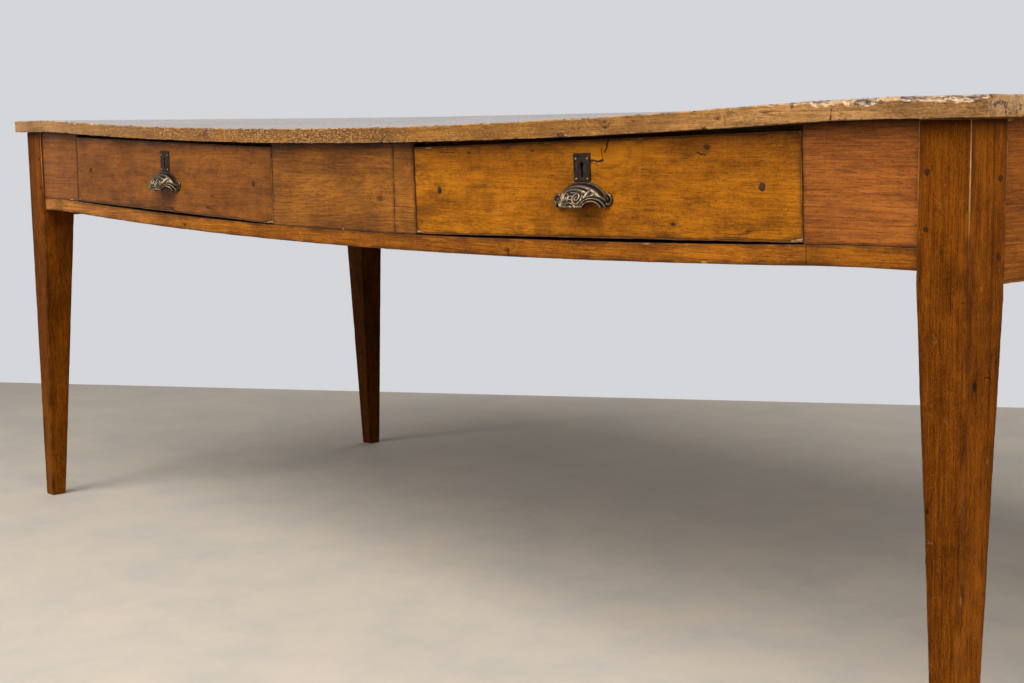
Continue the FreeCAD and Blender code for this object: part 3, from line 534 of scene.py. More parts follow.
def boxed_corners(start, stop):
    """The four corners of a straight bar along its longest side, as a function of the way along it."""
    run = max(range(3), key=lambda axis: abs(stop[axis] - start[axis]))
    first, second = [axis for axis in range(3) if axis != run]

    def corners(t):
        made = []
        for a, b in ((0, 0), (1, 0), (1, 1), (0, 1)):
            point = Vector((0, 0, 0))
            point[run] = start[run] + (stop[run] - start[run]) * t
            point[first] = (start, stop)[a][first]
            point[second] = (start, stop)[b][second]
            made.append(point)
        return made

    return corners


for number, side in enumerate(("left", "right")):
    low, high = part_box(f"{side}_apron")
    low.y, high.y = -leg_inner.y, leg_inner.y
    finish = wood(f"{side}_apron_wood", "Y", (low + high) / 2, APRON_TINTS, 31 + number, ring=0.009,
                  pith=(0.08, 0.03), lean=0.05, knots=SIDE_KNOTS)
    apron = worn_bar(f"{side}_apron_worn", boxed_corners(low, high), [APRON_ARRIS] * 4, (3, 3, 3, 3),
                     seed=41 + number)
    dress(apron, "table", "frame_wood", finish, f"{side}_apron")

low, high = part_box("back_apron")
low.x, high.x = -leg_inner.x, leg_inner.x
finish = wood("back_apron_wood", "X", (low + high) / 2, APRON_TINTS, 37, ring=0.010, pith=(0.10, 0.02),
              lean=0.02, knots=BACK_KNOTS)
# The back apron stays straight, just low enough to clear the top where that begins to sag.
high.z = underside - BACK_TOP_DROP
low.z = apron_bottom - BACK_LOW_DROP
back_apron = worn_bar("back_apron_worn", boxed_corners(low, high), [APRON_ARRIS] * 4, (6, 6, 6, 6),
                      step=0.012, seed=43)
dress(back_apron, "table", "frame_wood", finish, "back_apron")


# Front rail and blocks
# A flat rail runs under the drawers from leg to leg, and blocks stand on it beside and between the drawers.
# Age has let the front sag: the rail dips in the middle, and each drawer leans along its part of the dip.

HOLLOW_SHARE = 0.85
LEVEL = 1e-7
RAIL_HEIGHT = 0.023
RAIL_ARRISES = (0.0016, 0.001, 0.0008, 0.0011)
SEAM = 0.0002
STRIP_WIDTH = 0.052
END_BLOCK_WIDTH = 0.1518
CENTRE_WIDTH = 0.3844
FRONT_SHIFT = 0.0013
FRONT_ARRIS = 0.0011
RAIL_TINTS = ((0.450, 0.146, 0.008), (0.300, 0.088, 0.005), (0.085, 0.022, 0.002))
END_TINTS = ((0.400, 0.120, 0.018), (0.280, 0.080, 0.011), (0.090, 0.024, 0.003))
LEFT_END_TINTS = ((0.350, 0.112, 0.014), (0.245, 0.075, 0.009), (0.080, 0.022, 0.003))
CENTRE_TINTS = ((0.385, 0.135, 0.014), (0.190, 0.059, 0.006), (0.052, 0.016, 0.003))
RAIL_PALE = (0.640, 0.260, 0.055)
# Painted shade: near black for the rail's upward faces, which lie in the gap under the drawers.
RAIL_TOP_PAINTED_SHADE = (0.030, 0.014, 0.006)
RAIL_FACE = -0.028
RAIL_KNOTS = ((0.395, RAIL_FACE, -0.011, 0.0045, 0.6), (-0.48, RAIL_FACE, -0.010, 0.004, 0.7),
              (0.815, RAIL_FACE, 0.018, 0.004, 0.5))
RAIL_CRACKS = (((0.904, RAIL_FACE, 0.023), (0.904, RAIL_FACE, -0.003), 0.0008),
               ((0.396, RAIL_FACE, -0.008), (0.397, RAIL_FACE, -0.018), 0.0014),
               ((0.800, RAIL_FACE, 0.020), (0.850, RAIL_FACE, 0.021), 0.0008))
CENTRE_KNOT_X = 0.131
CENTRE_KNOT_Z = 0.636

top_front, top_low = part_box("top_board_1")[0].yz
top_sag = underside - top_low
rail_front_low, rail_back_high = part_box("front_rail")
front_face, rail_low = rail_front_low.yz
rail_back = rail_back_high.y
block_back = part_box("centre_block")[1].y
opening_inner = CENTRE_WIDTH / 2
opening_outer = leg_inner.x - END_BLOCK_WIDTH
opening_half = (opening_outer - opening_inner) / 2


def sag(x, y):
    """How far the table hangs at a place: most at the front's middle, none at the back or over the legs."""
    depth = top_sag * (-top_front - y) / (-2 * top_front)
    if depth < LEVEL or abs(x) >= leg_inner.x:
        return 0.0
    turn = math.sin(2 * math.atan(depth / leg_inner.x))
    meet = HOLLOW_SHARE * leg_inner.x
    hollow, shoulder = meet / turn, (leg_inner.x - meet) / turn
    if abs(x) <= meet:
        return depth - hollow + math.sqrt(hollow ** 2 - x ** 2)
    return shoulder - math.sqrt(shoulder ** 2 - (leg_inner.x - abs(x)) ** 2)


rail_bottom = rail_low + sag(0, front_face)
rail_top = rail_bottom + RAIL_HEIGHT


class Bay:
    """The leaning frame of one drawer: x along it, z up from its runners."""

    def __init__(self, side):
        self.ends = [side * x + FRONT_SHIFT for x in (opening_inner, opening_outer)]
        self.heights = low, high = [rail_top - sag(x, front_face) for x in self.ends]
        self.lean = -side * math.atan2(high - low, opening_outer - opening_inner)
        middle = Vector((sum(self.ends) / 2, 0, (low + high) / 2))
        self.matrix = Matrix.Translation(middle) @ Matrix.Rotation(self.lean, 4, "Y")
        self.outward = self.matrix.to_3x3() @ Vector((0, -1, 0))

    def edge(self, x, z):
        """The table's x of the line at one x of the bay, at a height of the table."""
        foot = self.matrix @ Vector((x, 0, 0))
        return foot.x + math.tan(self.lean) * (z - foot.z)


bays = {"left": Bay(-1), "right": Bay(1)}


def sagging_corners(start, stop, y0, y1, z0, z1):
    """A bar that hangs with the front: start and stop give its end lines as the x at a height."""
    def corners(t):
        made = []
        for y, z in ((y0, z0), (y1, z0), (y1, z1), (y0, z1)):
            x = start(z) + (stop(z) - start(z)) * t
            made.append(Vector((x, y, z - sag(x, y0))))
        return made

    return corners


def left_leg(z):
    return -leg_inner.x


def right_leg(z):
    return leg_inner.x


hanging_rail = sagging_corners(left_leg, right_leg, front_face, rail_back, rail_bottom, rail_top)


def planed_rail(t):
    """The rail's corners, its back planed straight under each drawer."""
    corners = hanging_rail(t)
    for bay in bays.values():
        inner, outer = bay.ends
        low, high = bay.heights
        share = (corners[2].x - inner) / (outer - inner)
        if 0 < share < 1:
            corners[2].z = max(corners[2].z, low + (high - low) * share)
    return corners


rail_centre = (0, (front_face + rail_back) / 2, rail_low + RAIL_HEIGHT)
# The rail's upward faces, under the drawers, are coloured near black and dull: painted shade.
finish = wood("front_rail_wood", "X", rail_centre, RAIL_TINTS, 51, ring=0.005, pith=(-0.09, 0.06), lean=0.006,
              fibrous=0.8, knots=RAIL_KNOTS, cracks=RAIL_CRACKS, bleached=(RAIL_PALE, 1.0, 1.4, 1.9),
              aged=(RAIL_TOP_PAINTED_SHADE, 0.95), rimmed=0.3, wear=0.05, glint=0.03)
rail = worn_bar("front_rail_worn", planed_rail, RAIL_ARRISES, (9, 2, 0, 6), bite=0.0018, seed=52)
dress(rail, "table", "front_wood", finish, "front_rail")

strip_left = opening_inner + FRONT_SHIFT - STRIP_WIDTH
BLOCKS = {
    "left_end_block": (left_leg, lambda z: bays["left"].edge(-opening_half, z), LEFT_END_TINTS),
    "centre_block": (lambda z: bays["left"].edge(opening_half, z), lambda z: strip_left - SEAM, CENTRE_TINTS),
    "centre_strip": (lambda z: strip_left, lambda z: bays["right"].edge(-opening_half, z), CENTRE_TINTS),
    "right_end_block": (lambda z: bays["right"].edge(opening_half, z), right_leg, END_TINTS),
}
for number, (node, (start, stop, tints)) in enumerate(BLOCKS.items()):
    central = node.startswith("centre")
    low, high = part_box("centre_block" if central else node)
    knot = (CENTRE_KNOT_X, (low.y - high.y) / 2, CENTRE_KNOT_Z - (low.z + high.z) / 2, 0.0065, 0.6)
    finish = wood(f"{node}_wood", "X", (low + high) / 2, tints, 62 if central else 61 + number,
                  ring=0.0038 if central else 0.0045, pith=(-0.07, 0.02), lean=0.04,
                  figure=0.55 if central else 0.45, mottle=0.45, fibrous=0.7 if central else 0.8,
                  knots=(knot,) if central else (), shine=0.14 if node == "left_end_block" else 0.10,
                  rimmed=0.5, wear=0.10, glint=0.03)
    corners = sagging_corners(start, stop, front_face, block_back, rail_top + SEAM, underside)
    block = worn_bar(f"{node}_worn", corners, [FRONT_ARRIS] * 4, (2, 0, 0, 1), bite=0.002,
                     across=(0.008, 0.008, 0.008, 0.004), seed=71 + number, wave=0.00035)
    # Painted shade, with some grime, on the block's upper part under the top's overhang.
    shade_under_overhang(block, sag)
    dress(block, "table", "front_wood", finish, node)


# Pegs
# Riven oak pegs pin every tenon from the outer faces of the legs, and more hold the ends of the top planks.
# Each is a slightly uneven rod, driven home and left standing a hair proud.

PEG_RIM = (0.012, 0.004, 0.001)
PEG_HEART = (0.070, 0.022, 0.005)
PEG_SIDES = 11
PEG_SIZES = {"joint_pegs": (0.004, 0.031), "top_pegs": (0.0045, 0.059)}
PEG_CROWN = ((1.0, -0.0009), (0.93, -0.0003), (0.6, -0.0001), (0.2, 0.0))
JOIN = 1e-6


def rod(radius, depth, crown):
    """The profile of a rod whose upper end is shaped by (share of the radius, height) pairs."""
    return [(radius, -depth)] + [(radius * share, height) for share, height in crown]


def turned(name, profile, sides, wobble=0.0, seed=0):
    """A shape turned about Z from (radius, height) pairs, a little out of round."""
    dice = random.Random(seed)
    bumps = [1 + dice.uniform(-wobble, wobble) for _ in range(sides)]
    turns = [2 * math.pi * i / sides for i in range(sides)]
    points = []
    for radius, height in profile:
        for bump, turn in zip(bumps, turns):
            points.append((radius * bump * math.cos(turn), radius * bump * math.sin(turn), height))
    mesh = mesh_of(name, points, skinned(len(profile), sides))
    mesh.shade_smooth()
    return mesh


def work_in(piece):
    """Works a piece's modifiers into its mesh."""
    mesh = bpy.data.meshes.new_from_object(piece.evaluated_get(bpy.context.evaluated_depsgraph_get()))
    piece.modifiers.clear()
    piece.data = mesh


def driven(name, blank, places, material, spread, seed):
    """Copies of a fixing driven in at places, each a point and its way out, none quite alike."""
    tree = bpy.data.node_groups.new(name, "GeometryNodeTree")
    tree.interface.new_socket("Places", in_out="INPUT", socket_type="NodeSocketGeometry")
    tree.interface.new_socket("Fixings", in_out="OUTPUT", socket_type="NodeSocketGeometry")
    fixing = placed(f"{name}_blank", blank)
    values = {}
    for label, kind, value in (("Fixing", "Object", fixing), ("Size spread", "Float", spread),
                               ("Seed", "Int", seed), ("Finish", "Material", material)):
        socket = tree.interface.new_socket(label, in_out="INPUT", socket_type=f"NodeSocket{kind}")
        values[socket.identifier] = value
    g = Nodes(tree)

    def given(label):
        return g.node("NodeGroupInput", out=label)

    def chance(least, most):
        sockets = {2: least, 3: most, "Seed": given("Seed")}
        return g.node("FunctionNodeRandomValue", {"data_type": "FLOAT"}, sockets, 1)

    outward = g.node("GeometryNodeInputNamedAttribute", {"data_type": "FLOAT_VECTOR"}, {"Name": "outward"})
    aim = g.node("FunctionNodeAlignRotationToVector", {"axis": "Z"}, {"Vector": outward})
    spin = {"Axis": (0, 0, 1), "Angle": chance(0.0, 2 * math.pi)}
    twist = g.node("FunctionNodeAxisAngleToRotation", {}, spin)
    turn = g.node("FunctionNodeRotateRotation", {"rotation_space": "LOCAL"},
                  {"Rotation": aim, "Rotate By": twist})
    shape = g.node("GeometryNodeObjectInfo", {"transform_space": "ORIGINAL"}, {"Object": given("Fixing")},
                   "Geometry")
    sockets = {"Points": given("Places"), "Instance": shape, "Rotation": turn,
               "Scale": chance(1 - given("Size spread"), 1.0)}
    copies = g.node("GeometryNodeInstanceOnPoints", {}, sockets)
    real = g.node("GeometryNodeRealizeInstances", {}, {0: copies})
    finished = g.node("GeometryNodeSetMaterial", {}, {0: real, "Material": given("Finish")})
    g.node("NodeGroupOutput", {}, {0: finished})

    seats = mesh_of(name, [point for point, _ in places])
    ways = [part for _, way in places for part in way]
    seats.attributes.new("outward", "FLOAT_VECTOR", "POINT").data.foreach_set("vector", ways)
    piece = placed(name, seats)
    rule = piece.modifiers.new(name, "NODES")
    rule.node_group = tree
    for identifier, value in values.items():
        rule[identifier] = value
    work_in(piece)
    bpy.data.objects.remove(fixing)
    return piece


def fix(node, body, slot, material, blank, places, spread, seed):
    """Drives in the fixings that stand for a CAD node."""
    dress(driven(f"{node}_driven", blank, places, material, spread, seed), body, slot, material, node)


def end_grain(name, heart, rim, scale):
    """The cut end of a peg or plug: pale heart, dark rim and fine rings."""
    f = Finish(bpy.data.materials.new(name))
    place = f.place()
    speck = f.grain(place, (scale, scale, scale), 4, 0.65)
    blot = f.grain(place, (90, 90, 90), 2)
    colour = f.coats(heart, [(f.band(speck, 0.35, 0.7), rim), (f.band(blot, 0.5, 0.7) * 0.6, DIRT_AND_SHADE)])
    return f.done(colour, speck * 0.3 + 0.4, speck, depth=0.0004, more={"Specular IOR Level": 0.06})


def merged(node):
    """A copy of a CAD node to work on, its loose triangles joined."""
    work = bmesh.new()
    work.from_mesh(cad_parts[node].data)
    bmesh.ops.remove_doubles(work, verts=work.verts, dist=JOIN)
    return work


def island_seats(node, face):
    """The seat of each rod of a CAD node, in a fixed order: face picks it from the rod's two corners."""
    work = merged(node)
    boxes, left = [], set(work.verts)
    while left:
        group, edge = set(), [left.pop()]
        while edge:
            vertex = edge.pop()
            group.add(vertex)
            near = {e.other_vert(vertex) for e in vertex.link_edges} & left
            left -= near
            edge += near
        low = Vector([min(v.co[i] for v in group) for i in range(3)])
        high = Vector([max(v.co[i] for v in group) for i in range(3)])
        boxes.append((low, high))
    work.free()
    boxes.sort(key=lambda box: [round(part, 4) for part in box[0]])
    return [face(low, high) for low, high in boxes]


def outer_end(low, high):
    """The end of a rod that faces away from the middle of the table, and its way out."""
    run = max(range(3), key=lambda i: high[i] - low[i])
    point = (low + high) / 2
    way = Vector((0, 0, 0))
    way[run] = 1.0 if point[run] > 0 else -1.0
    point[run] = high[run] if way[run] > 0 else low[run]
    return point, way


peg_finish = end_grain("peg_end_grain", PEG_HEART, PEG_RIM, scale=900)
for number, (node, size) in enumerate(PEG_SIZES.items()):
    peg = turned(f"{node}_blank", rod(*size, PEG_CROWN), PEG_SIDES, wobble=0.03, seed=5 + number)
    seats = island_seats(node, outer_end)
    fix(node, "table", "peg_wood", peg_finish, peg, seats, spread=0.04, seed=8 + number)


# Runners, guides, kickers and top rail
# Plain sawn bearers that carry the drawers, hidden behind the front. They stay bare and grey with dust.
# Each keeps its exact sawn shape, with its arrises just taken off.

BARE_TINTS = ((0.330, 0.205, 0.105), (0.235, 0.135, 0.066), (0.120, 0.062, 0.028))
RUNNER_CENTRE = (0, 0, 0.6)
RAIL_CENTRE = (0, -0.36, 0.72)
EASE = 0.0006
FLAT_TURN = math.radians(2)
SHARP_TURN = math.radians(40)


def meshed(work, name):
    """The plain mesh of mesh work that is done."""
    mesh = bpy.data.meshes.new(name)
    work.to_mesh(mesh)
    work.free()
    return mesh


def ease(node, ending, body, slot, material, width=EASE):
    """Puts a copy with its sharp arrises taken off in the place of a CAD node."""
    work = merged(node)
    bmesh.ops.dissolve_limit(work, angle_limit=FLAT_TURN, verts=work.verts, edges=work.edges)
    piece = placed(f"{node}_{ending}", meshed(work, f"{node}_{ending}"))
    bevel = piece.modifiers.new("eased arrises", "BEVEL")
    bevel.width = width
    bevel.segments = 2
    bevel.limit_method = "ANGLE"
    bevel.angle_limit = SHARP_TURN
    bevel.use_clamp_overlap = True
    work_in(piece)
    dress(piece, body, slot, material, node)


bare_along_y = wood("bare_runner_wood", "Y", RUNNER_CENTRE, BARE_TINTS, 81, ring=0.008, pith=(0.3, 0.1),
                    roughness=0.7)
bare_along_x = wood("bare_rail_wood", "X", RAIL_CENTRE, BARE_TINTS, 83, ring=0.008, pith=(0.1, 0.1),
                    roughness=0.7)
for side in bays:
    for bearer in ("left_runner", "right_runner", "guides", "kickers"):
        ease(f"{side}_drawer_{bearer}", "sawn", "table", "inner_wood", bare_along_y)
ease("top_rail", "sawn", "table", "frame_wood", bare_along_x)


# Drawer boxes
# Dovetailed boxes of thin bare wood: sides, back and a bottom panel slid into grooves.
# Only the front is finished; the rest has gone grey-brown with handling.

BOX_BOARDS = {"left_side": bare_along_y, "right_side": bare_along_y,
              "back": bare_along_x, "bottom": bare_along_x}
for side in bays:
    for board, finish in BOX_BOARDS.items():
        ease(f"{side}_drawer_{board}", "planed", f"{side}_drawer", "inner_wood", finish)


# Drawer fronts
# One wide golden board each, with plugged holes of older knobs, a keyhole and years of polish.
# The board's ends and upper edge are rubbed pale where hands and cloths have passed.

DRAWER_HEIGHT = 0.121
DRAWER_LIFT = 0.0015
DRAWER_ARRIS = 0.0013
SIDE_GAP = 0.0015
DRAWER_TINTS = {"left": ((0.355, 0.113, 0.010), (0.222, 0.066, 0.006), (0.066, 0.019, 0.002)),
                "right": ((0.490, 0.165, 0.005), (0.315, 0.097, 0.003), (0.088, 0.024, 0.001))}
FACE = -0.011
DRAWER_KNOTS = {
    "left": ((-0.180, FACE, 0.030, 0.004, 0.35),),
    "right": ((0.047, FACE, 0.047, 0.013, 0.10), (0.212, FACE, 0.052, 0.0042, 0.85),
              (0.157, FACE, -0.038, 0.0022, 1.0), (-0.096, FACE, 0.047, 0.003, 0.6)),
}
DRAWER_CRACKS = {
    "left": (),
    "right": (((0.048, FACE, 0.062), (0.040, FACE, 0.046), 0.0023),
              ((0.033, FACE, 0.053), (0.036, FACE, 0.036), 0.0009),
              ((0.013, FACE, 0.0345), (0.038, FACE, 0.0346), 0.0017),
              ((-0.292, FACE, 0.0442), (-0.225, FACE, 0.0442), 0.0010),
              ((0.196, FACE, 0.0455), (0.209, FACE, 0.0420), 0.0012)),
}
CORNER_CHIP = 0.012
CORNER_CHIP_DEPTH = 0.0030
# Where the drawer's face is darkened round and under the pull: painted shade, partly real finger grime.
GRIP_LIFT = 0.047
GRIP_HALF_WIDTH = 0.044
GRIP_HALF_HEIGHT = 0.014
KEYHOLE_TOP = 0.0947
KEYHOLE_ROUND = 0.0022
KEYHOLE_SLOT = 0.0013
KEYHOLE_LENGTH = 0.0175
KEYHOLE_MARGIN = 0.0035
KEYHOLE_POINTS = 14
CUT_PAST = 0.005


def keyhole_outline(margin):
    """A keyhole seen from the front: a round hole over a narrow slot, as (x, z) pairs."""
    radius, half = KEYHOLE_ROUND + margin, KEYHOLE_SLOT + margin
    centre = KEYHOLE_TOP - KEYHOLE_ROUND
    start = math.asin(half / radius)
    turns = [start + (2 * math.pi - 2 * start) * i / KEYHOLE_POINTS for i in range(KEYHOLE_POINTS + 1)]
    bottom = KEYHOLE_TOP - KEYHOLE_LENGTH - margin
    rounded = [(radius * math.sin(turn), centre - radius * math.cos(turn)) for turn in turns]
    return rounded + [(-half, bottom), (half, bottom)]


def cut_keyhole(piece, matrix, y0, y1):
    """Cuts the keyhole through a front, and marks painted shade inside the hole and round the pull, where it
    is partly real finger grime.
    """
    outline = keyhole_outline(KEYHOLE_MARGIN)
    points = [matrix @ Vector((x, y, z)) for y in (y0, y1) for x, z in outline]
    work = bmesh.new()
    verts = [work.verts.new(point) for point in points]
    for ring in skinned(2, len(outline)):
        work.faces.new([verts[k] for k in ring])
    bmesh.ops.recalc_face_normals(work, faces=work.faces)
    core = placed("keyhole_core", meshed(work, "keyhole_core"))
    cut = piece.modifiers.new("keyhole", "BOOLEAN")
    cut.object = core
    cut.solver = "EXACT"
    work_in(piece)
    bpy.data.objects.remove(core)
    low_x, low_z = (min(part) - SEAM for part in zip(*outline))
    high_x, high_z = (max(part) + SEAM for part in zip(*outline))
    to_bay = matrix.inverted()
    lee = []
    for vertex in piece.data.vertices:
        x, _, z = to_bay @ vertex.co
        in_hole = low_x < x < high_x and low_z < z < high_z
        from_grip = math.hypot(x / GRIP_HALF_WIDTH, (z - GRIP_LIFT) / GRIP_HALF_HEIGHT)
        # Painted shade fills the keyhole; round the pull it is painted shade with some finger grime.
        lee.append(1.0 if in_hole else max(0.0, 1 - from_grip ** 2))
    mark(piece.data, lee=lee)


front_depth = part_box("left_drawer_front")[1].y - front_face
drawer_half = opening_half - SIDE_GAP
for number, (side, bay) in enumerate(bays.items()):
    body = f"{side}_drawer"
    start = Vector((-drawer_half, front_face, DRAWER_LIFT))
    stop = Vector((drawer_half, front_face + front_depth, DRAWER_LIFT + DRAWER_HEIGHT))
    square = boxed_corners(start, stop)

    def leaning(t):
        return [bay.matrix @ corner for corner in square(t)]

    centre = bay.matrix @ ((start + stop) / 2)
    finish = wood(f"{body}_front_wood", "X", centre, DRAWER_TINTS[side], 91 + number, ring=0.011,
                  pith=(-0.10, 0.03), lean=0.05, figure=0.3, mottle=0.75, fibrous=0.5,
                  knots=DRAWER_KNOTS[side], cracks=DRAWER_CRACKS[side],
                  shine=0.12 if side == "left" else 0.07, rimmed=0.85)
    chip_places = (0.4 * CORNER_CHIP, 2 * drawer_half - 0.4 * CORNER_CHIP)
    front = worn_bar(f"{body}_front_worn", leaning, [DRAWER_ARRIS] * 4, (6, 3, 3, 8), bite=0.0022, step=0.004,
                     end=0.0014, seed=95 + number, wave=0.0004,
                     cuts=[(0, place, CORNER_CHIP, CORNER_CHIP_DEPTH) for place in chip_places])
    cut_keyhole(front, bay.matrix, front_face - CUT_PAST, front_face + front_depth + CUT_PAST)
    dress(front, body, "front_wood", finish, f"{body}_front")


# Plugs
# Dark turned plugs that fill the holes left by older knobs, glued in and planed nearly flush.
# Their end grain has drunk wax and dirt and gone almost black.

PLUG_RADIUS = 0.00525
PLUG_CROWN = ((1.0, -0.0006), (0.94, -0.0001), (0.5, 0.0), (0.1, -0.0002))
PLUG_SIDES = 24
PLUG_HEART = (0.075, 0.034, 0.020)
PLUG_RIM = (0.020, 0.009, 0.006)


def front_end(low, high):
    """The end of a plug that shows in the drawer's face, and its way out."""
    middle = (low + high) / 2
    return Vector((middle.x, low.y, middle.z)), Vector((0, -1, 0))


plug_finish = end_grain("plug_end_grain", PLUG_HEART, PLUG_RIM, scale=1300)
for number, side in enumerate(bays):
    node = f"{side}_drawer_plugs"
    profile = rod(PLUG_RADIUS, front_depth, PLUG_CROWN)
    plug = turned(f"{node}_blank", profile, PLUG_SIDES, wobble=0.015, seed=3 + number)
    seats = island_seats(node, front_end)
    fix(node, f"{side}_drawer", "peg_wood", plug_finish, plug, seats, spread=0.03, seed=6 + number)


# Keyhole plates and locks
# Hand-cut iron plates, filed at the edges and nailed at the corners, over locks on the back of the fronts.
# The iron is dark with oil and rust, and bright only on the nail heads.

IRON_DARK = (0.009, 0.005, 0.003)
IRON_BROWN = (0.034, 0.016, 0.006)
IRON_BRIGHT = (0.330, 0.275, 0.220)
PLATE_HALF_WIDTH = 0.0150
PLATE_LOW = 0.072
PLATE_TOP = 0.106
PLATE_THICKNESS = 0.0016
PLATE_EDGE = 0.0003
PLATE_HOLE_MARGIN = 0.0009
FILE_STROKES = 8
FILE_SLIP = 0.00012
NAIL_SIDE_INSET = 0.0046
NAIL_TOP_INSET = 0.0068
NAIL_LOW_INSET = 0.0024
NAIL_PROFILE = ((0.0008, -0.0095), (0.0008, -0.0002), (0.0018, 0.0), (0.0017, 0.0004), (0.0012, 0.0008),
                (0.0004, 0.0009))
NAIL_SIDES = 10
LOCK_EASE = 0.0003
BOLT_EASE = 0.0004


def iron(name, rubbed, least=0.0, metallic=0.5):
    """Old forged iron: dark scale with brown rust, pitted, and rubbed brighter where it stands out."""
    f = Finish(bpy.data.materials.new(name))
    place = f.place()
    rust = f.grain(place, (160, 160, 160), 4, 0.6)
    pits = f.band(f.grain(place, (700, 700, 700), 2), 0.58, 0.72)
    hammer = f.grain(place, (120, 120, 120), 1)
    shine = (f.band(f.grain(place, (330, 330, 120), 3), 0.45, 0.7) * (1 - least) + least) * rubbed
    colour = f.coats(IRON_DARK, [(f.band(rust, 0.4, 0.68), IRON_BROWN), (shine, IRON_BRIGHT)])
    dull = rust * 0.4 - shine * 0.2 + 0.28
    height = hammer * 1.2 - pits * 0.6
    return f.done(colour, dull, height, depth=0.0005, more={"Specular IOR Level": 0.15}, metallic=metallic)


plate_iron = iron("plate_iron", rubbed=0.06, metallic=0.2)
nail_iron = iron("nail_iron", rubbed=0.9, least=0.6, metallic=0.9)
lock_iron = iron("lock_iron", rubbed=0.25)

for number, (side, bay) in enumerate(bays.items()):
    body = f"{side}_drawer"
    dice = random.Random(100 + number)
    corners = [(-PLATE_HALF_WIDTH, PLATE_LOW), (PLATE_HALF_WIDTH, PLATE_LOW), (PLATE_HALF_WIDTH, PLATE_TOP),
               (-PLATE_HALF_WIDTH, PLATE_TOP)]
    outline = []
    for ends in zip(corners, corners[1:] + corners[:1]):
        for i in range(FILE_STROKES):
            t = i / FILE_STROKES
            outline.append([a + (b - a) * t + dice.uniform(-1, 1) * FILE_SLIP for a, b in zip(*ends)])
    sheet = bpy.data.curves.new(f"{side}_plate_outline", "CURVE")
    sheet.dimensions = "2D"
    sheet.fill_mode = "BOTH"
    sheet.extrude = PLATE_THICKNESS / 2 - PLATE_EDGE
    sheet.bevel_depth = PLATE_EDGE
    sheet.bevel_resolution = 1
    for loop in (outline, keyhole_outline(PLATE_HOLE_MARGIN)):
        spline = sheet.splines.new("POLY")
        spline.points.add(len(loop) - 1)
        spline.use_cyclic_u = True
        for point, (x, z) in zip(spline.points, loop):
            point.co = (x, z, 0, 1)
    flat = bpy.data.objects.new(f"{side}_plate_outline", sheet)
    mesh = bpy.data.meshes.new_from_object(flat)
    bpy.data.objects.remove(flat)
    forward = Matrix.Translation((0, front_face - PLATE_THICKNESS / 2, 0))
    mesh.transform(bay.matrix @ forward @ Matrix.Rotation(math.pi / 2, 4, "X"))
    work = bmesh.new()
    work.from_mesh(mesh)
    bmesh.ops.remove_doubles(work, verts=work.verts, dist=JOIN)
    bmesh.ops.recalc_face_normals(work, faces=work.faces)
    plate = placed(f"{side}_keyhole_plate_cut", meshed(work, f"{side}_keyhole_plate_cut"))
    dress(plate, body, "iron", plate_iron, f"{side}_keyhole_plate")

    node = f"{side}_keyhole_plate_nails"
    rows = (PLATE_LOW + NAIL_LOW_INSET, PLATE_TOP - NAIL_TOP_INSET)
    columns = (-PLATE_HALF_WIDTH + NAIL_SIDE_INSET, PLATE_HALF_WIDTH - NAIL_SIDE_INSET)
    places = [Vector((x, front_face - PLATE_THICKNESS, z)) for x in columns for z in rows]
    seats = [(bay.matrix @ place, bay.outward) for place in places]
    nail = turned(f"{node}_blank", NAIL_PROFILE, NAIL_SIDES, wobble=0.08, seed=12 + number)
    fix(node, body, "iron", nail_iron, nail, seats, spread=0.08, seed=14 + number)

    for part in ("lock_plate", "lock_case", "lock_screws"):
        ease(f"{side}_{part}", "filed", body, "iron", lock_iron, LOCK_EASE)
    ease(f"{side}_lock_bolt", "filed", f"{side}_lock_bolt", "iron", lock_iron, BOLT_EASE)


# Cup pulls
# Cast cup pulls, open below for the fingers: a half dome worked in relief with two scrolls, a fan of leaves
# and nested arches over the lip, on a flat rim with a screwed ear at each end.

PULL_HALF = 0.045
PULL_HEIGHT = 0.028
PULL_DEPTH = 0.024
PULL_WALL = 0.0022
PULL_BASE = 0.0395
RIM_WIDTH = 0.0035
RIM_THICKNESS = 0.002
RIM_FLAT = RIM_THICKNESS * 0.9
RIM_BEVEL = 0.985
RIM_WEAR = (0.0, 0.15, 0.3)
ARCH_RADIUS = 0.0095
ARCH_RISE = 0.0065
ARCH_X = 0.030
ARCH_PITCH = 0.0032
ARCH_START = 0.0012
ARCH_REACH = (0.0072, 0.0084)
EAR_RADIUS = 0.008
EAR_X = 0.046
EAR_LIFT = 0.0095
EAR_SHAPE = ((1.0, 0.0), (1.0, 0.0012), (0.95, 0.0024), (0.84, 0.0030), (0.70, 0.0026), (0.58, RIM_FLAT),
             (0.2, RIM_FLAT))
EAR_SIDES = 32
EAR_RAISED_WEAR, EAR_FLAT_WEAR = 0.7, 0.1
SCREW_PROFILE = ((0.0015, -0.0135), (0.0015, -0.0001), (0.0030, 0.0), (0.0029, 0.0006), (0.0022, 0.0013),
                 (0.0008, 0.0016))
SCREW_SIDES = 16
RELIEF = 0.0017
RELIEF_FOOT = 6
LEAF_PITCH = 0.0040
SCROLL_X, SCROLL_Z = 0.0100, 0.0118
SCROLL_PITCH = 0.0040
SCROLL_REACH = (0.0076, 0.0088)
FAN_X, FAN_Z = 0.0200, 0.0020
FAN_FLUTES = 13
FAN_REACH = (0.0190, 0.0215)
FAN_BESIDE = (-0.0210, -0.0180)
BORDER_REACH = (0.0030, 0.0040)
BEAD_LIFT = 0.0012
BEAD_WIDTH = 0.0010
COLUMNS = 220
ROWS = 80
INNER_ROWS = 12
POLE_JOIN = 2e-5
PULL_DARK = (0.012, 0.008, 0.005)
PULL_BRONZE = (0.115, 0.080, 0.047)
PULL_WORN = (0.400, 0.310, 0.190)


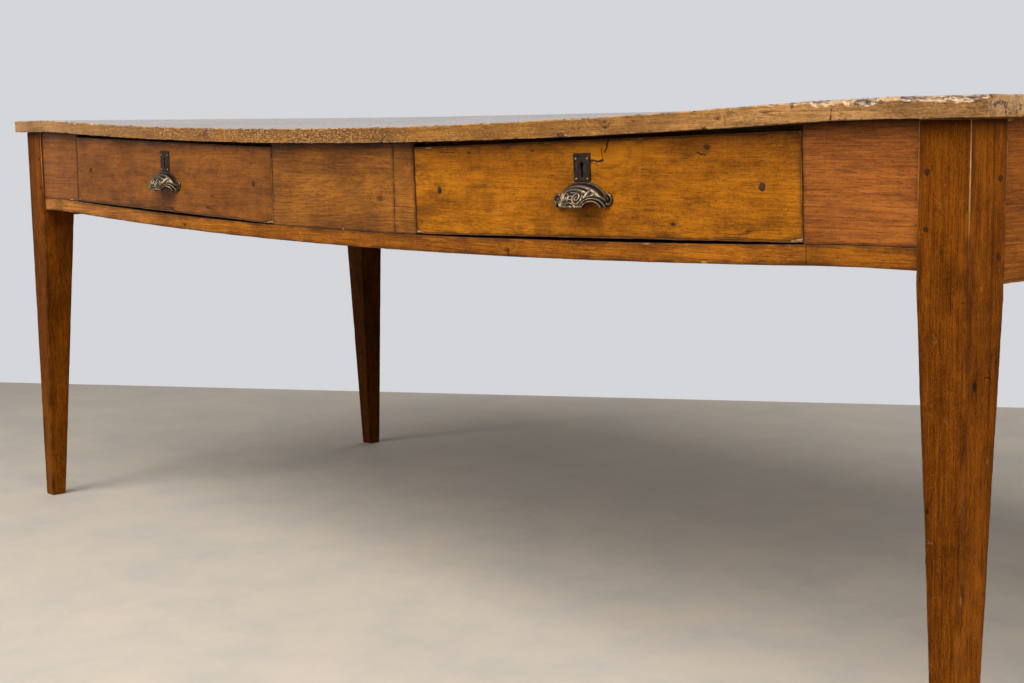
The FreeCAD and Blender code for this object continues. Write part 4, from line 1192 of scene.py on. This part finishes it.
def ridge(distance, width):
    """The height of a rounded ridge at a distance from its line."""
    return math.exp(-(distance / width) ** 2)


def ripple(distance, pitch):
    """The height of a row of rounded ridges at a distance across them."""
    return 0.5 + 0.5 * math.cos(2 * math.pi * distance / pitch)


def fade(distance, near, far):
    """One up to near, nothing from far."""
    return min(1.0, max(0.0, (far - distance) / (far - near)))


def relief(x, z):
    """The height of the cast ornament seen from the front, x from the middle and z from the base."""
    x = abs(x)
    border = (1 - math.hypot(x / PULL_HALF, z / PULL_HEIGHT)) * PULL_HEIGHT
    leaf = ripple(border - LEAF_PITCH / 2, LEAF_PITCH)
    dx, dz = x - SCROLL_X, z - SCROLL_Z
    radius = math.hypot(dx, dz)
    whorl = ripple(radius - SCROLL_PITCH * math.atan2(dz, dx) / (2 * math.pi), SCROLL_PITCH)
    inside = fade(radius, *SCROLL_REACH)
    height = whorl * inside + leaf * (1 - inside)
    reach, turn = math.hypot(x - FAN_X, z - FAN_Z), math.atan2(z - FAN_Z, x - FAN_X)
    flutes = ripple(turn, 2 * math.pi / FAN_FLUTES) * fade(reach, *FAN_REACH)
    aside = fade(-x, *FAN_BESIDE)
    height = height * (1 - aside) + max(flutes, leaf * fade(border, *BORDER_REACH)) * aside
    from_arch = math.hypot(x - ARCH_X, z - ARCH_RISE + ARCH_RADIUS) - ARCH_RADIUS
    nested = fade(from_arch, *ARCH_REACH)
    height = height * (1 - nested) + ripple(from_arch - ARCH_START, ARCH_PITCH) * nested
    return max(height, 0.9 * ridge(z - BEAD_LIFT, BEAD_WIDTH) if x < ARCH_X - ARCH_RADIUS else 0.0)


def cup_column(share, thinner, rows):
    """The points of one section of the dome, from the drawer's face to the lip, as (x, outward, z)."""
    half, depth, tall = PULL_HALF - thinner, PULL_DEPTH - thinner, PULL_HEIGHT - thinner
    swell = (depth ** 2 + tall ** 2) / (2 * depth)
    behind = swell - depth
    x = half * math.cos(share)
    radius = math.sqrt(max(0.0, swell ** 2 - (x / half) ** 2 * (swell ** 2 - behind ** 2)))
    aside = abs(x) - ARCH_X
    lip = ARCH_RISE - ARCH_RADIUS + math.sqrt(max(0.0, ARCH_RADIUS ** 2 - aside ** 2))
    high = math.asin(min(1.0, behind / radius))
    low = max(high, math.acos(min(1.0, max(0.0, lip) / radius)))
    turns = [high + (low - high) * r / (rows - 1) for r in range(rows)]
    return [(x, radius * math.sin(turn) - behind, radius * math.cos(turn)) for turn in turns]


def cup_shell():
    """The dome, its hollow and its rim as one closed shell about the middle of its base, and its wear."""
    points, marks = [], []
    for c in range(COLUMNS + 1):
        share = math.pi * c / COLUMNS
        inner = cup_column(share, PULL_WALL, INNER_ROWS)
        rim_x = (PULL_HALF + RIM_WIDTH) * math.cos(share)
        rim_z = (PULL_HEIGHT + RIM_WIDTH) * math.sin(share)
        points += [(rim_x, 0.0, rim_z), (rim_x, RIM_THICKNESS * 0.7, rim_z),
                   (rim_x * RIM_BEVEL, RIM_THICKNESS, rim_z * RIM_BEVEL)]
        marks += RIM_WEAR
        for r, (x, out, z) in enumerate(cup_column(share, 0.0, ROWS)):
            lift = relief(x, z) * min(1.0, RELIEF_FOOT * r / ROWS)
            away = Vector((x * 0.35, out + 0.004, z * 0.7)).normalized() * RELIEF * lift
            points.append((x + away.x, max(out, RIM_FLAT) + away.y, z + away.z))
            marks.append(lift)
        points += reversed(inner)
        marks += [0.0] * len(inner)
    work = bmesh.new()
    layer = work.verts.layers.float.new("wear")
    verts = [work.verts.new((x, -out, z)) for x, out, z in points]
    for vertex, worn in zip(verts, marks):
        vertex[layer] = worn
    for face in skinned(COLUMNS + 1, len(points) // (COLUMNS + 1)):
        work.faces.new([verts[k] for k in face])
    bmesh.ops.remove_doubles(work, verts=work.verts, dist=POLE_JOIN)
    bmesh.ops.recalc_face_normals(work, faces=work.faces)
    return work, layer


def bronze(name):
    """Cast bronze: dark in the hollows, brown on the flats, and rubbed bright on the ridges."""
    f = Finish(bpy.data.materials.new(name))
    place = f.place()
    raised = f.marked("wear")
    cast = f.grain(place, (900, 900, 900), 3, 0.6)
    patch = f.grain(place, (120, 120, 120), 3)
    brown = f.band(raised + (patch - 0.5) * 0.3, 0.05, 0.60)
    bright = f.band(raised + (patch - 0.5) * 0.9, 0.75, 1.25)
    colour = f.coats(PULL_DARK, [(brown, PULL_BRONZE), (bright, PULL_WORN)])
    dull = 0.31 - bright * 0.08 + cast * 0.10
    return f.done(colour, dull, cast * 0.5 + patch * 0.4, depth=0.0002, metallic=0.9)


pull_bronze = bronze("pull_bronze")
ear_profile = [(EAR_RADIUS * share, height) for share, height in EAR_SHAPE]
for number, (side, bay) in enumerate(bays.items()):
    body = f"{side}_drawer"
    work, layer = cup_shell()
    for end in (-1, 1):
        ear = turned(f"{side}_ear", ear_profile, EAR_SIDES)
        ear.transform(Matrix.Translation((end * EAR_X, 0, EAR_LIFT)) @ Matrix.Rotation(math.pi / 2, 4, "X"))
        before = set(work.verts)
        work.from_mesh(ear)
        for vertex in set(work.verts) - before:
            vertex[layer] = EAR_RAISED_WEAR if vertex.co.y < -RIM_THICKNESS else EAR_FLAT_WEAR
    mesh = meshed(work, f"{side}_cup_pull_cast")
    mesh.transform(bay.matrix @ Matrix.Translation((0, front_face, PULL_BASE)))
    mesh.shade_smooth()
    dress(placed(f"{side}_cup_pull_cast", mesh), body, "bronze", pull_bronze, f"{side}_cup_pull")

    node = f"{side}_cup_pull_screws"
    places = [Vector((end * EAR_X, front_face - RIM_THICKNESS, PULL_BASE + EAR_LIFT)) for end in (-1, 1)]
    seats = [(bay.matrix @ place, bay.outward) for place in places]
    screw = turned(f"{node}_blank", SCREW_PROFILE, SCREW_SIDES, wobble=0.02, seed=17 + number)
    fix(node, body, "iron", lock_iron, screw, seats, spread=0.04, seed=18 + number)


# Table top
# Four wide planks laid edge to edge along the table and pegged to the end aprons.
# The front edge is rounded, split and bitten by use, and the face has gone grey and smooth with scrubbing.

TOP_TINTS = ((0.430, 0.180, 0.024), (0.280, 0.108, 0.011), (0.066, 0.020, 0.003))
TOP_BLEACHED = (0.520, 0.275, 0.100)
TOP_WORN = (0.600, 0.330, 0.120)
TOP_GREY = (0.205, 0.168, 0.140)
TOP_SHEEN = 0.26
SEAM_ARRIS = 0.0010
FRONT_LOW_ARRIS = 0.0016
FRONT_TOP_ARRIS = 0.0016
BROKEN_ARRIS = 0.0034
BROKEN_FROM = 0.885
BROKEN_OVER = 0.03
OUTER_ARRIS = 0.0022
TOP_ENDS = (0.010, 0.0025)
EDGE = -0.105
EDGE_HOLES = ((0.605, EDGE, 0.002, 0.0022, 1.0), (0.606, EDGE, -0.005, 0.0022, 1.0),
              (0.645, EDGE, 0.008, 0.0016, 1.0), (0.655, EDGE, 0.002, 0.0014, 0.9),
              (0.790, EDGE, 0.004, 0.0013, 1.0), (0.250, EDGE, 0.000, 0.0016, 0.9),
              (-0.210, EDGE, 0.003, 0.0020, 0.9), (-0.700, EDGE, -0.002, 0.0018, 0.9))
EDGE_CRACKS = (((0.951, EDGE, 0.011), (0.949, EDGE, -0.004), 0.0016),
               ((0.800, EDGE, 0.006), (0.802, EDGE, -0.004), 0.0009))
FACE_KNOTS = ((0.42, 0.02, 0.011, 0.012, 0.6), (-0.55, -0.04, 0.011, 0.010, 0.7))
EDGE_STRETCHES = ((0.0, 0.9, 34, 0.0022), (0.9, 1.85, 16, 0.0014), (1.85, 2.04, 9, 0.0016),
                  (2.04, 2.27, 30, 0.0046))
EDGE_CUT_HALVES = (0.002, 0.009)

dice = random.Random(7)
edge_cuts = []
for begin, finish_at, count, deepest in EDGE_STRETCHES:
    for _ in range(count):
        half = dice.uniform(*EDGE_CUT_HALVES)
        edge_cuts.append((3, dice.uniform(begin, finish_at), half, deepest * dice.uniform(0.3, 1.0) ** 2))


def front_arris(share):
    """The upper front arris: crisp along the table, broken down near the right corner."""
    broken = min(1.0, max(0.0, (share - BROKEN_FROM) / BROKEN_OVER))
    return FRONT_TOP_ARRIS + BROKEN_ARRIS * broken


for number in range(1, 5):
    node = f"top_board_{number}"
    low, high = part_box(node)

    def plank(t):
        x = low.x + (high.x - low.x) * t
        places = ((low.y, underside), (high.y, underside), (high.y, cad_box[1].z), (low.y, cad_box[1].z))
        return [Vector((x, y, z - sag(x, y))) for y, z in places]

    first, last = number == 1, number == 4
    rear_arris = OUTER_ARRIS if last else SEAM_ARRIS
    radii = [FRONT_LOW_ARRIS if first else SEAM_ARRIS, rear_arris, rear_arris,
             front_arris if first else SEAM_ARRIS]
    nicks = (8 if first else 6, 20 if last else 6, 40 if last else 8, 0 if first else 8)
    finish = wood(f"{node}_wood", "X", (low + high) / 2, TOP_TINTS, 111 + number, ring=0.007,
                  pith=(0.06, 0.09), lean=0.015, figure=0.35, mottle=0.6, fibrous=0.6, coarse=1.0,
                  knots=EDGE_HOLES if first else FACE_KNOTS, cracks=EDGE_CRACKS if first else (),
                  bleached=(TOP_BLEACHED, 0.0, 0.45, 1.0), roughness=0.38, shine=0.16,
                  aged=(TOP_GREY, TOP_SHEEN), waxed=0.5, butt=0.15, soiling=0.1, worn=TOP_WORN,
                  wear=0.5, glint=0.55, battered=0.85)
    board = worn_bar(f"{node}_worn", plank, radii, nicks, bite=0.0036, step=0.0025 if first else 0.008,
                     across=(0.016, 0.008, 0.012, 0.0022 if first else 0.008), end=TOP_ENDS,
                     seed=121 + number, wave=0.0005, fray=0.0008 if first else 0.0003,
                     cuts=edge_cuts if first else ())
    dress(board, "table", "top_wood", finish, node)


# Studio
# A plain pale floor and backdrop under five soft lamps; the fill and the rear one stay out of reflections.
# The camera stands to the right of the table, just above its drawers.

PHOTO_WIDTH = 1024
FOCAL_PIXELS = 1626.4
SENSOR = 36.0
CAMERA_PLACE = Vector((2.0520, -1.7572, 0.7342))
YAW, PITCH, ROLL = (math.radians(turn) for turn in (49.51, 7.83, -0.76))
CENTRE_RIGHT, CENTRE_DOWN = 31.57, 9.38
FLOOR_PALE = (0.50, 0.43, 0.345)
FLOOR_GREY = (0.42, 0.38, 0.33)
FLOOR_ROUGHNESS = 0.7
FLOOR_BACK = Vector((-1.390, 1.064))
FLOOR_WAY = Vector((0.805, 0.593))
FLOOR_HALF, FLOOR_FORE = 9, 14
BACKDROP = (0.66, 0.67, 0.70)
AMBIENT = (0.95, 0.97, 1.0)
AMBIENT_STRENGTH = 0.05
LAMPS = {
    "window": (Vector((-0.8, -3.7, 3.0)), (2.6, 2.0), 125.0, True),
    "fill": (Vector((4.2, -0.7, 2.1)), (2.0, 2.2), 112.0, False),
    "strip": (Vector((4.2, -1.3, 1.7)), (0.4, 1.6), 14.0, True),
    "overhead": (Vector((0.5, -1.9, 3.3)), (3.4, 1.6), 110.0, True),
    "rear": (Vector((-2.4, 4.6, 1.3)), (2.6, 1.2), 78.0, False),
}
LAMP_AIM = Vector((0.1, -0.3, 0.55))

ahead = Vector((-math.sin(YAW) * math.cos(PITCH), math.cos(YAW) * math.cos(PITCH), -math.sin(PITCH)))
right = Vector((math.cos(YAW), math.sin(YAW), 0))
up = right.cross(ahead)
right = right * math.cos(ROLL) + up * math.sin(ROLL)
up = right.cross(ahead)
lens = bpy.data.cameras.new("photographer")
lens.sensor_width = SENSOR
lens.lens = FOCAL_PIXELS * SENSOR / PHOTO_WIDTH
lens.shift_x = -CENTRE_RIGHT / PHOTO_WIDTH
lens.shift_y = CENTRE_DOWN / PHOTO_WIDTH
camera = placed("photographer", lens)
camera.matrix_world = Matrix.Translation(CAMERA_PLACE) @ Matrix((right, up, -ahead)).transposed().to_4x4()
bpy.context.scene.camera = camera

fore = Vector((FLOOR_WAY.y, -FLOOR_WAY.x)) * FLOOR_FORE
aside = FLOOR_WAY * FLOOR_HALF
floor_corners = (FLOOR_BACK - aside + fore, FLOOR_BACK + aside + fore, FLOOR_BACK + aside, FLOOR_BACK - aside)
floor = placed("floor", mesh_of("floor", [(*corner, 0.0) for corner in floor_corners], [(0, 1, 2, 3)]))
f = Finish(bpy.data.materials.new("pale_floor"))
cloud = f.grain(f.place(), (6, 6, 6), 10, 0.72)
floor_colour = f.blend(f.band(cloud, 0.35, 0.70), FLOOR_PALE, FLOOR_GREY)
floor.data.materials.append(f.done(floor_colour, FLOOR_ROUGHNESS, cloud, depth=0.001))

for name, (place, size, power, mirrored) in LAMPS.items():
    lamp = bpy.data.lights.new(name, "AREA")
    lamp.shape = "RECTANGLE"
    lamp.size, lamp.size_y = size
    lamp.energy = power
    stand = placed(name, lamp)
    stand.visible_glossy = mirrored
    stand.location = place
    stand.rotation_euler = (LAMP_AIM - place).to_track_quat("-Z", "Y").to_euler()

f = Finish(bpy.data.worlds.new("studio"))
bpy.context.scene.world = f.owner
from_camera, glossy, transmitted = (f.node("ShaderNodeLightPath", out=f"Is {ray} Ray")
                                    for ray in ("Camera", "Glossy", "Transmission"))
seen = f.maths("MINIMUM", from_camera + glossy + transmitted, 1.0)
ambient = f.node("ShaderNodeBackground", {}, {"Color": (*AMBIENT, 1.0), "Strength": AMBIENT_STRENGTH})
backdrop = f.node("ShaderNodeBackground", {}, {"Color": (*BACKDROP, 1.0), "Strength": 1.0})
either = f.node("ShaderNodeMixShader", {}, {0: seen, 1: ambient, 2: backdrop})
f.node("ShaderNodeOutputWorld", {}, {"Surface": either})

bpy.context.scene.view_settings.view_transform = "Standard"
